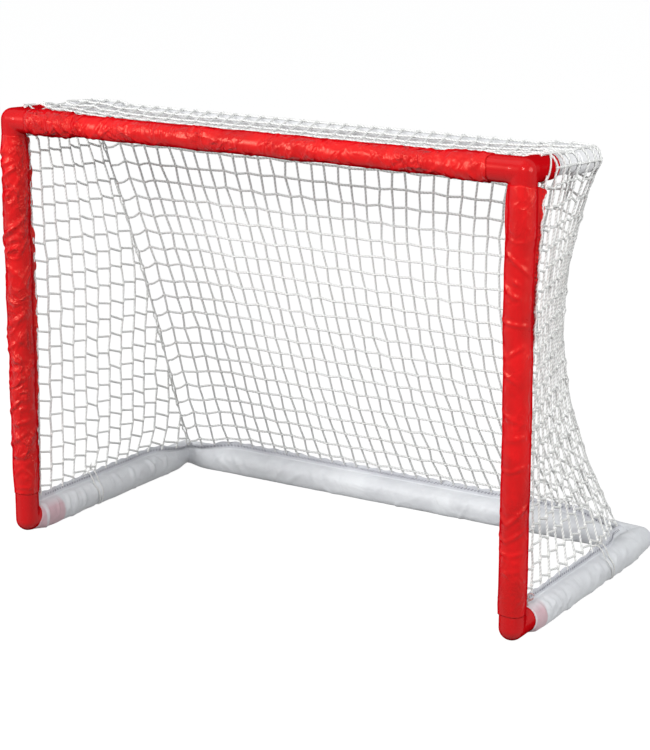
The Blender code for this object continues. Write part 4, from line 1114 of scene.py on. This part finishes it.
def side_point(y, v, side):
    """A side of the net, on the right. y is the distance back, v runs up (0 to 1) and over the top
    tube (to 2)."""
    run = min((y - FRONT) / TOP_RUN.y, TOP_RUN_LENGTH)
    if v > 1:
        return side_tube_point(run, lerp(-WRAP_STEP, SEAM_RISE, v - 1))
    front, seam, share = side_patch(y, v, side)
    spot = front.lerp(seam, share)
    spot.x = lerp(front.x, seam.x, share ** 1.15)
    inset, height = base_hem_point(REAR - y)
    gap = patch_gap(Vector((HALF_WIDTH - inset, y, height)), *side_patch(y, 0, side))
    free = 1 - share ** 8
    spot.x += gap.x * ((1 - v) ** 6 * free)
    spot.z += gap.z * (1 - v) * free
    front, seam, share = side_patch(y, 1, side)
    if y <= seam.y:
        gap = patch_gap(side_tube_point(run, -WRAP_STEP), front, seam, share)
        free = 1 - share ** 8
        spot.x += gap.x * v ** 8 * free
        spot.z += gap.z * v * free
    return spot


# Start, way, run from and to, radius
FRAME_RODS = [
    (TOP_CORNER, TOP_RUN, 0, FRONT_ARM, NET_ON_FITTING),
    (TOP_CORNER, TOP_RUN, 0, TOP_RUN_LENGTH, NET_ON_TUBE),
    (TOP_CORNER, TOP_RUN, TOP_RUN_LENGTH - REAR_ARM, TOP_RUN_LENGTH, NET_ON_FITTING),
    (TOP_REAR_CORNER, -RIGHT, 0, REAR_ARM, NET_ON_FITTING),
    (TOP_REAR_CORNER, -RIGHT, 0, HALF_WIDTH, NET_ON_TUBE),
]


def clear_of_frame(point):
    """Moves a point of a cord out of the top frame's tubes and corners."""
    sign = 1 if point.x >= 0 else -1
    spot = mirrored([point], sign)[0]
    for start, direction, low, high, radius in FRAME_RODS:
        axis = start + direction * min(max((spot - start).dot(direction), low), high)
        away = spot - axis
        if away.length < radius:
            spot = axis + away.normalized() * radius
    return mirrored([spot], sign)[0]


# Net: strands and knots

BACK_SLACK, SIDE_SLACK, TOP_SLACK = (0.0022, 0.0018), (0.0008, 0.0016), (0.0016, 0.006)
BACK_ZIGZAG, SIDE_ZIGZAG, TOP_ZIGZAG = (0.0016, 0.0011), (0.0007, 0.0022), 0.012


def knot_shift(rng, across, up):
    """How far slack has carried a knot, across and up."""
    return rng.normal(0, across), rng.normal(0, up)


def strand_through(surface, knots, sag=0.0, parts=4):
    """Points of a strand over a surface, from knot to knot, hanging a little between them."""
    points = []
    for (a, b), (next_a, next_b) in zip(knots, knots[1:]):
        for share in (k / parts for k in range(parts)):
            spot = surface(lerp(a, next_a, share), lerp(b, next_b, share))
            points.append(spot + UP * -sag * math.sin(math.pi * share))
    return [clear_of_frame(point) for point in points + [surface(*knots[-1])]]


def knot_on(surface, knot, step):
    """A knot's place, and the way that the net faces there."""
    a, b = knot
    across = surface(a + step, b) - surface(a - step, b)
    up = surface(a, b + 0.01) - surface(a, b - 0.01)
    return clear_of_frame(surface(a, b)), across.cross(up).normalized()


def back_net():
    """Strands and knots of the back and the top, as (columns, rows, knots, top strands, top knots)."""
    rng = np.random.default_rng(5)
    heights = [(j + 0.5) / ROWS for j in range(ROWS)] + list(CREST_ROWS)
    us = [-1 + 2 * k / BACK_GAPS for k in range(BACK_GAPS + 1)]
    inner = range(1, BACK_GAPS)
    grid = [[(u, w - 0.012 if w < 1 else w) for w in heights] for u in us]
    for k in inner:
        for j, w in enumerate(heights):
            du, dw = knot_shift(rng, *BACK_SLACK)
            if w < 1:
                du += BACK_ZIGZAG[0] * zigzag(k + j)
                dw += BACK_ZIGZAG[1] * zigzag(k)
                dw += 0.006 * (k in (1, BACK_GAPS - 1))
            else:
                du, dw = du * 0.4, dw * 0.4
            grid[k][j] = (us[k] + du, w + dw)
    columns = [strand_through(back_point, [(us[k], 0.0)] + grid[k] + [(us[k], 2.0)]) for k in inner]
    rows = [strand_through(back_point, row, 0.0003) for row in zip(*grid)]
    knots = [knot_on(back_point, grid[k][j], 0.01) for j in range(len(heights)) for k in inner]
    top_strands, top_knots = [], []
    crossings = {w: [(-1.0, w)] for w in TOP_ROW_PLACES}
    for k in range(1 - math.ceil(TOP_SHEAR * BACK_GAPS / 2), BACK_GAPS):
        u = -1 + 2 * k / BACK_GAPS
        path = [(u, 2.0)] if k > 0 else [(-1.0, 2 + (-1 - u) / TOP_SHEAR)]
        for j, w in enumerate(TOP_ROW_PLACES):
            here = u + TOP_SHEAR * (w - 2)
            if abs(here) > 0.985:
                continue
            du, dw = knot_shift(rng, *TOP_SLACK)
            knot = (here + du, w + dw + TOP_ZIGZAG * zigzag(k + j))
            path.append(knot)
            crossings[w].append(knot)
            top_knots.append(knot_on(back_point, knot, 0.01))
        path.append((u + TOP_SHEAR, 3.0) if u + TOP_SHEAR < 1 else (1.0, 2 + (1 - u) / TOP_SHEAR))
        top_strands.append(strand_through(back_point, path))
    top_strands += [strand_through(back_point, path + [(1.0, w)]) for w, path in crossings.items()]
    return columns, rows, knots, top_strands, top_knots


def side_net(side):
    """Strands and knots of a side, on the right. Each bar of a row drops backwards, and steps up at the
    next column."""
    rng = np.random.default_rng(71 if side == "left" else 72)
    vs = [(j + 0.5) / ROWS for j in range(ROWS)] + [SIDE_TOP_ROW]
    first = FRONT + NET_FLAP_REACH

    def surface(y, v):
        return side_point(y, v, side)

    def column_y(k, v):
        return first + (k + 1) * SIDE_PITCH * lerp(1.16, 1.0, smooth(v / 0.4))

    def inside(k, v):
        return column_y(k, v) < (seam_point(v).y - 0.006 if v < 1 else TOP_REAR - 0.004)

    count = 0
    while inside(count, 0.0):
        count += 1
    shifts = {(k, j): knot_shift(rng, *SIDE_SLACK) for k in range(count) for j in range(len(vs))}

    def spot_of(k, j, step=0.0):
        dy, dv = shifts[k, j]
        dy += SIDE_ZIGZAG[0] * zigzag(k + j)
        dv += SIDE_ZIGZAG[1] * zigzag(k) + step * lerp(BAR_STEP, TOP_BAR_STEP, vs[j]) / 2
        return column_y(k, vs[j]) + dy, vs[j] + (dv if vs[j] < 1 else 0)

    strands, knots = [], []
    for k in range(count):
        path = [(column_y(k, 0), 0.0)] + [spot_of(k, j) for j, v in enumerate(vs) if inside(k, v)]
        if inside(k, 0.999):
            path.append((column_y(k, 1), 2.0))
        else:
            low, high = path[-1][1], min(path[-1][1] + 2.5 / ROWS, 1.0)
            for _ in range(20):
                middle = (low + high) / 2
                reached = column_y(k, middle) < seam_point(middle).y
                low, high = (middle, high) if reached else (low, middle)
            path.append((column_y(k, low), low))
        strands.append(strand_through(surface, path))
        knots += [knot_on(surface, knot, 0.003) for knot in path[1:-1]]
    for j, v in enumerate(vs):
        start, end = (first - 0.003, seam_point(v).y) if v < 1 else (FRONT + SIDE_ARM - 0.008, TOP_REAR)
        path = [(start, v + (0.004 if v < 1 else 0))]
        for k in range(count):
            if inside(k, v) and column_y(k, v) > start:
                path += [spot_of(k, j, -1), spot_of(k, j, 1)] if v < 1 else [spot_of(k, j)]
        strands.append(strand_through(surface, path + [(end, v)]))
    border = []
    for k in range(4 * ROWS + 1):
        wound = (BACK * 0.0012 + RIGHT * 0.0006) * math.sin(k * math.pi / 2 + 0.6)
        border.append(side_front(k / (4 * ROWS), side) + wound)
    return strands + [border], knots


def input_of(tree, label):
    """The identifier of a tree's input, which is what a modifier sets it by."""
    return next(item.identifier for item in tree.interface.items_tree
                if item.name == label.replace("_", " ") and item.in_out == "INPUT")


class Recipe(Tree):
    """A Geometry Nodes tree under construction, with named inputs for its lines, sizes and finish."""

    def __init__(self, name, lines, made, **sizes):
        super().__init__(bpy.data.node_groups.new(name, "GeometryNodeTree"))
        self.socket(lines, "Geometry")
        for label, value in sizes.items():
            self.socket(label, "Int" if isinstance(value, int) else "Float").default_value = value
        self.socket("Finish", "Material")
        self.socket(made, "Geometry", "OUTPUT")
        self.given = self.tree.nodes.new("NodeGroupInput").outputs

    def socket(self, label, kind, way="INPUT"):
        return self.tree.interface.new_socket(label.replace("_", " "), in_out=way,
                                              socket_type="NodeSocket" + kind)

    def ring(self, sides, radius):
        return self.add("GeometryNodeCurvePrimitiveCircle", {"Resolution": sides, "Radius": radius})

    def transformed(self, geometry, **inputs):
        return self.add("GeometryNodeTransform", {"Geometry": geometry, **inputs})

    def swept(self, path, profile, ply, caps=False):
        """A tube, whose attribute ply says where it is on a crown (1) or in a groove (-1)."""
        profile = self.add("GeometryNodeStoreNamedAttribute", {
            "Geometry": profile, "Name": "ply", "Value": ply}, data_type="FLOAT", domain="POINT")
        return self.add("GeometryNodeCurveToMesh", {
            "Curve": path, "Profile Curve": profile, "Fill Caps": caps})

    def scattered(self, points, instance, way, low, high, size=1.0):
        """Instances that face a way, at seeded uneven sizes."""
        turned = self.add("FunctionNodeAlignRotationToVector", {"Vector": way}, axis="Z")
        uneven = self.add("FunctionNodeRandomValue", {2: low, 3: high, "Seed": self.given["Seed"]}, 1,
                          data_type="FLOAT")
        return self.add("GeometryNodeInstanceOnPoints", {
            "Points": points, "Instance": instance, "Rotation": turned, "Scale": self.product(uneven, size)})

    def end(self, geometry):
        real = self.add("GeometryNodeRealizeInstances", {"Geometry": geometry})
        self.add("NodeGroupOutput", {0: self.add("GeometryNodeSetMaterial", {
            "Geometry": real, "Material": self.given["Finish"]})})
        return self.tree


def cord_tree():
    """Lays a two-ply cord along every edge chain, and ties a knot at every loose point."""
    cord = Recipe("laid cord with knots", "Strands", "Net", Cord_Radius=CORD_RADIUS, Lay_Length=CORD_LAY,
                  Ring_Spacing=CORD_RING_SPACING, Knot_Size=KNOT_SIZE, Sides=CORD_SIDES, Seed=3)
    given = cord.given
    chain = cord.add("GeometryNodeMeshToCurve", {"Mesh": given["Strands"]})
    chain = cord.add("GeometryNodeCurveSplineType", {"Curve": chain}, spline_type="CATMULL_ROM")
    chain = cord.add("GeometryNodeResampleCurve", {"Curve": chain, "Length": given["Ring Spacing"]},
                     mode="LENGTH")
    run = cord.add("GeometryNodeSplineParameter", output="Length")
    twist = cord.product(cord.maths("DIVIDE", run, given["Lay Length"]), math.tau)
    chain = cord.add("GeometryNodeSetCurveTilt", {"Curve": chain, "Tilt": twist})
    profile = cord.transformed(cord.ring(given["Sides"], given["Cord Radius"]), Scale=(1.12, 0.88, 1))
    angle = cord.product(cord.add("GeometryNodeSplineParameter", output="Factor"), 2 * math.tau)
    cords = cord.swept(chain, profile, cord.maths("COSINE", angle), caps=True)

    alone = cord.add("GeometryNodeInputMeshVertexNeighbors", output="Vertex Count")
    loose = cord.add("FunctionNodeCompare", {2: alone, 3: 0}, data_type="INT", operation="EQUAL")
    spots = cord.add("GeometryNodeMeshToPoints", {"Mesh": given["Strands"], "Selection": loose})
    turn = cord.swept(cord.ring(6, 0.72), cord.ring(4, 0.66), 0.55)
    one = cord.transformed(turn, Rotation=(1.15, 0.35, 0))
    other = cord.transformed(turn, Rotation=(0.35, 1.25, 0.2), Scale=(1.05, 1.05, 1.0))
    knot = cord.add("GeometryNodeJoinGeometry", {0: [one, other]})
    way = cord.add("GeometryNodeInputNamedAttribute", {"Name": "facing"}, data_type="FLOAT_VECTOR")
    knots = cord.scattered(spots, knot, way, 0.88, 1.14, given["Knot Size"])
    return cord.end(cord.add("GeometryNodeJoinGeometry", {0: [cords, knots]}))


def laid(name, tree, strands, knots, finish, replaces, slot, sign=1, **sizes):
    """Runs a tree over strands and knots, mirrored where sign is -1, and keeps a plain mesh as a piece."""
    vertices, edges = [], []
    for strand in strands:
        first = len(vertices)
        closed = (strand[0] - strand[-1]).length < 1e-7
        vertices += mirrored(strand[:-1] if closed else strand, sign)
        last = len(vertices) - 1
        edges += [(k, k + 1) for k in range(first, last)] + [(last, first)] * closed
    ways = [UP] * len(vertices)
    for knot in knots:
        spot, way = mirrored(knot, sign)
        vertices.append(spot)
        ways.append(way)
    source = bpy.data.meshes.new(name)
    source.from_pydata(vertices, edges, [])
    layer = source.attributes.new("facing", "FLOAT_VECTOR", "POINT")
    layer.data.foreach_set("vector", np.array(ways, np.float32).ravel())
    holder = new_object(name + "_lines", source)
    modifier = holder.modifiers.new("tree", "NODES")
    modifier.node_group = tree
    for label, value in {**sizes, "Finish": finish}.items():
        modifier[input_of(tree, label)] = value
    made = evaluated_mesh(holder)
    made.name = name
    return finished(name, made, slot, finish, replaces)


def seam_lines():
    """The right seam: two cords that lie together and are drawn off line a little at each row."""
    shares = [0] + [part + k / steps for part, steps in enumerate(SEAM_STEPS) for k in range(1, steps + 1)]
    middle = [seam_point(share) for share in shares]
    pair = []
    for phase, seed in ((0, 81), (math.pi, 82)):
        rng = np.random.default_rng(seed)
        line = []
        for k, (spot, share) in enumerate(zip(middle, shares)):
            ahead = middle[min(k + 1, len(middle) - 1)] - middle[max(k - 1, 0)]
            first = ahead.cross(RIGHT + BACK * 0.4).normalized()
            second = ahead.normalized().cross(first)
            angle = k * 0.20 + phase
            drawn = 0.0020 * max(math.sin(share * ROWS * math.tau), 0) * rng.uniform(0.4, 1.2)
            reach = 0.0013 + drawn if share <= 1 else 0.0012
            line.append(clear_of_frame(spot + (first * math.cos(angle) + second * math.sin(angle)) * reach))
        pair.append(line)
    return pair


def build_net(tree, finish):
    columns, rows, knots, top_strands, top_knots = back_net()
    laid("net_back_columns", tree, columns, [], finish, ["net_back"], "net_cord")
    laid("net_back_rows", tree, rows, [], finish, ["net_back"], "net_cord")
    laid("net_back_knots", tree, [], knots, finish, ["net_back"], "net_cord")
    laid("net_over_top", tree, top_strands, top_knots, finish, ["net_top"], "net_cord")
    for side, sign in SIDES.items():
        laid(f"net_on_{side}", tree, *side_net(side), finish, [f"net_{side}"], "net_cord", sign)
        laid(f"net_seam_{side}", tree, seam_lines(), [], finish, [f"seam_cord_{side}"], "net_cord", sign,
             Cord_Radius=0.00125, Lay_Length=0.009)


# Ties, hooks and stitches

def tail(knot, *offsets):
    """A string's end, from its knot."""
    return [knot] + [knot + Vector(offset) for offset in offsets]


def top_tie_lines():
    """The right string: slack round the fitting's back arm, knotted below, with a tail towards the post."""
    loop = []
    for k in range(37):
        rise = math.tau * (k % 36) / 36 - math.pi / 2
        slack = 0.023 if math.cos(rise) > 0 else 0.003
        run = TOP_TIE_PLACE - slack * math.cos(rise) + 0.007 * math.sin(rise)
        loop.append(side_tube_point(run, rise, FITTING_RADIUS + TIE_RADIUS + 0.0002))
    knot = loop[0] + Vector((0.0012, 0, -0.0016))
    long = tail(knot, (0.001, -0.006, -0.0025), (0.001, -0.013, -0.0035), (0.0005, -0.020, -0.0030))
    short = tail(knot, (0.0015, 0.002, -0.005), (0.0010, 0.001, -0.011))
    high = side_tube_point(0.063, math.radians(96), FITTING_RADIUS + TIE_RADIUS + 0.0008)
    return [loop, long, short], [(knot, BACK), (high, UP)]


def base_tie_lines(side):
    """Two turns of string round a base sleeve, through the net above its hem and knotted there."""
    sign = SIDES[side]
    lines = []
    for offset in (-0.0021, 0.0021):
        loop = []
        for k in range(49):
            turn = math.tau * (k % 48) / 48
            height = math.cos(turn)
            slant = BASE_TIE_SLANT[side] * (1 - height) / 2
            run = BASE_TIE_PLACE[side] + slant + offset * (1.9 + 0.9 * height)
            round_hem = max(height, 0) ** 10
            reach = BASE_SLEEVE_RADIUS - 0.0004 + TIE_RADIUS + (HEM_HEIGHT + 0.0016) * round_hem
            reach += 0.0022 * floor_sag(min(turn, math.tau - turn))
            turned = turn + hem_lean(BASE_DEPTH - run) * round_hem * -sign
            high = max(BASE_AXIS + reach * math.cos(turned), TIE_RADIUS + 0.0002)
            loop.append(Vector((sign * HALF_WIDTH + reach * math.sin(turned), FRONT + run, high)))
        lines.append(loop)
    knot = lines[-1][0] + Vector((0.0012 * sign, -0.0016, 0.0008))
    lines.append(tail(knot, (0.003, -0.004, 0.003), (0.005, -0.006, 0.010)))
    lines.append(tail(knot, (-0.002, 0.005, 0.002), (-0.004, 0.007, 0.008)))
    return lines, [(knot, UP)]


def hook_lines():
    """The right corner's small open ring, and its shank below."""
    centre = Vector((HALF_WIDTH + 0.0070, FRONT + POST_HEM_TIP + 0.0062, BASE_AXIS + HEM_TIP - 0.0010))
    across = (RIGHT * 0.85 + BACK * 0.53).normalized()
    ring = [centre + (across * math.cos(turn) + UP * math.sin(turn)) * 0.0040
            for turn in np.linspace(0.2, math.tau - 0.5, 22)]
    shank = [centre + across * out - UP * down
             for out, down in ((0.0010, 0.0046), (-0.0030, 0.0062), (-0.0044, 0.0092), (-0.0026, 0.0118))]
    return [ring + shank]


def build_ties(tree, string, pink):
    lay = {"Lay_Length": 0.006, "Ring_Spacing": 0.0008}
    for side, sign in SIDES.items():
        laid(f"top_string_{side}", tree, *top_tie_lines(), string, [f"top_tie_{side}"], "string", sign,
             Cord_Radius=TIE_RADIUS, Knot_Size=0.0021, **lay)
        laid(f"base_string_{side}", tree, *base_tie_lines(side), string, [f"base_tie_{side}"], "string",
             Cord_Radius=TIE_RADIUS * 0.8, Knot_Size=0.0018, **lay)
        laid(f"net_hook_{side}", tree, hook_lines(), [], pink, [f"foot_ring_{side}"], "string", sign,
             Cord_Radius=0.0009, Lay_Length=0.2, Ring_Spacing=0.0006)


def stitch_tree():
    """Sews a row of short raised stitches along every edge chain."""
    seam = Recipe("row of stitches", "Lines", "Seam", Stitch_Length=0.0036, Stitch_Pitch=0.0056,
                  Thread_Radius=0.00050, Seed=7)
    given = seam.given
    chain = seam.add("GeometryNodeMeshToCurve", {"Mesh": given["Lines"]})
    points = seam.add("GeometryNodeCurveToPoints", {"Curve": chain, "Length": given["Stitch Pitch"]},
                      mode="LENGTH")
    bead = seam.add("GeometryNodeMeshUVSphere", {"Segments": 5, "Rings": 4, "Radius": 1.0})
    half = seam.product(given["Stitch Length"], 0.5)
    size = seam.add("ShaderNodeCombineXYZ", {0: given["Thread Radius"], 1: given["Thread Radius"], 2: half})
    stitch = seam.transformed(bead, Scale=size)
    return seam.end(seam.scattered(points, stitch, points.node.outputs["Tangent"], 0.86, 1.12))


def post_hem_lines(side):
    """Both faces of a post's flap, half way up it, on the right."""
    low, high = POST_SLEEVE_FOOT[side] + 0.004, BAR_AXIS - POST_SLEEVE_GAP[side] - 0.006
    lines = []
    for face in (-1, 1):
        line = []
        for z in np.linspace(low, high, 120):
            reach = POST_SLEEVE_RADIUS + 0.55 * flap_height((z - low) / (high - low))
            turn = flap_turn(z, side) + face * (HEM_THICKNESS / 2 + 0.0001) / reach
            line.append(Vector((HALF_WIDTH + reach * math.sin(turn), FRONT + reach * math.cos(turn), z)))
        lines.append(line)
    return lines


def base_hem_lines():
    """Both faces of the base sleeves' hems, two rows each."""
    lines = []
    for depth, face in ((0.0048, -1), (0.0048, 1), (0.0064, -1), (0.0064, 1)):
        reach = HEM_TIP - depth
        waved = (1 - depth / HEM_HEIGHT) ** 1.5
        off = face * (HEM_THICKNESS / 2 + 0.0003)

        def spot(axis, to_corner, place):
            """How far out and how high a stitch is, where the tube's axis is this far out."""
            lean = hem_lean(to_corner)
            out = axis - reach * math.sin(lean) - hem_wag(place) * waved
            centre = Vector((out, BASE_AXIS + reach * math.cos(lean)))
            return centre + Vector((off * math.cos(lean), off * math.sin(lean)))

        side = [(y, spot(HALF_WIDTH, REAR - y, y - FRONT))
                for y in np.linspace(FRONT + 0.040, REAR - MITRE_START, 90)]
        lines += [[Vector((sign * out, y, height)) for y, (out, height) in side] for sign in (-1, 1)]
        half = HALF_WIDTH - MITRE_START
        lines.append([Vector((x, *spot(REAR, HALF_WIDTH - abs(x), abs(x))))
                      for x in np.linspace(-half, half, 180)])
    return lines


def build_stitches(red_thread, grey_thread):
    tree = stitch_tree()
    for side, sign in SIDES.items():
        laid(f"post_hem_stitches_{side}", tree, post_hem_lines(side), [], red_thread, [], "red_nylon", sign)
    laid("base_hem_stitches", tree, base_hem_lines(), [], grey_thread, [], "white_nylon")


def build_frame_finishes(red, white, string):
    for name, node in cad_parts.items():
        if name.startswith(("post_tube", "crossbar_tube")):
            finish = red
        elif name.startswith("base_"):
            finish = white
        else:
            finish = string
        for k in range(len(node.data.materials)):
            node.data.materials[k] = finish


def build():
    bpy.context.scene.view_settings.view_transform = "Standard"
    make_camera()
    make_light()
    make_floor()
    red = moulded("glossy red plastic", (0.60, 0.004, 0.007), (0.53, 0.003, 0.006), 0.24, 0.20,
                  (1, 0.22, 0.16))
    white = moulded("white plastic", (0.86, 0.86, 0.87), (0.80, 0.805, 0.82), 0.35, 0.2)
    # each cord's second colour is the painted shade of its groove
    cord = laid_cord("net cord", (0.93, 0.935, 0.92), (0.59, 0.60, 0.59))
    string = laid_cord("tie string", (0.95, 0.95, 0.93), (0.66, 0.66, 0.65))
    pink = thread("pink plastic hook", (0.62, 0.40, 0.38))
    red_thread = thread("red thread", (0.45, 0.012, 0.018))
    grey_thread = thread("grey thread", (0.22, 0.22, 0.27))
    build_frame_finishes(red, white, string)
    nylon, pale = red_nylon(), white_nylon()
    for side in SIDES:
        post_sleeve(side, nylon)
        base_side_sleeve(side, pale)
    crossbar_sleeve(nylon)
    base_rear_sleeve(pale)
    build_fittings(red, white)
    tree = cord_tree()
    build_net(tree, cord)
    build_ties(tree, string, pink)
    build_stitches(red_thread, grey_thread)


build()
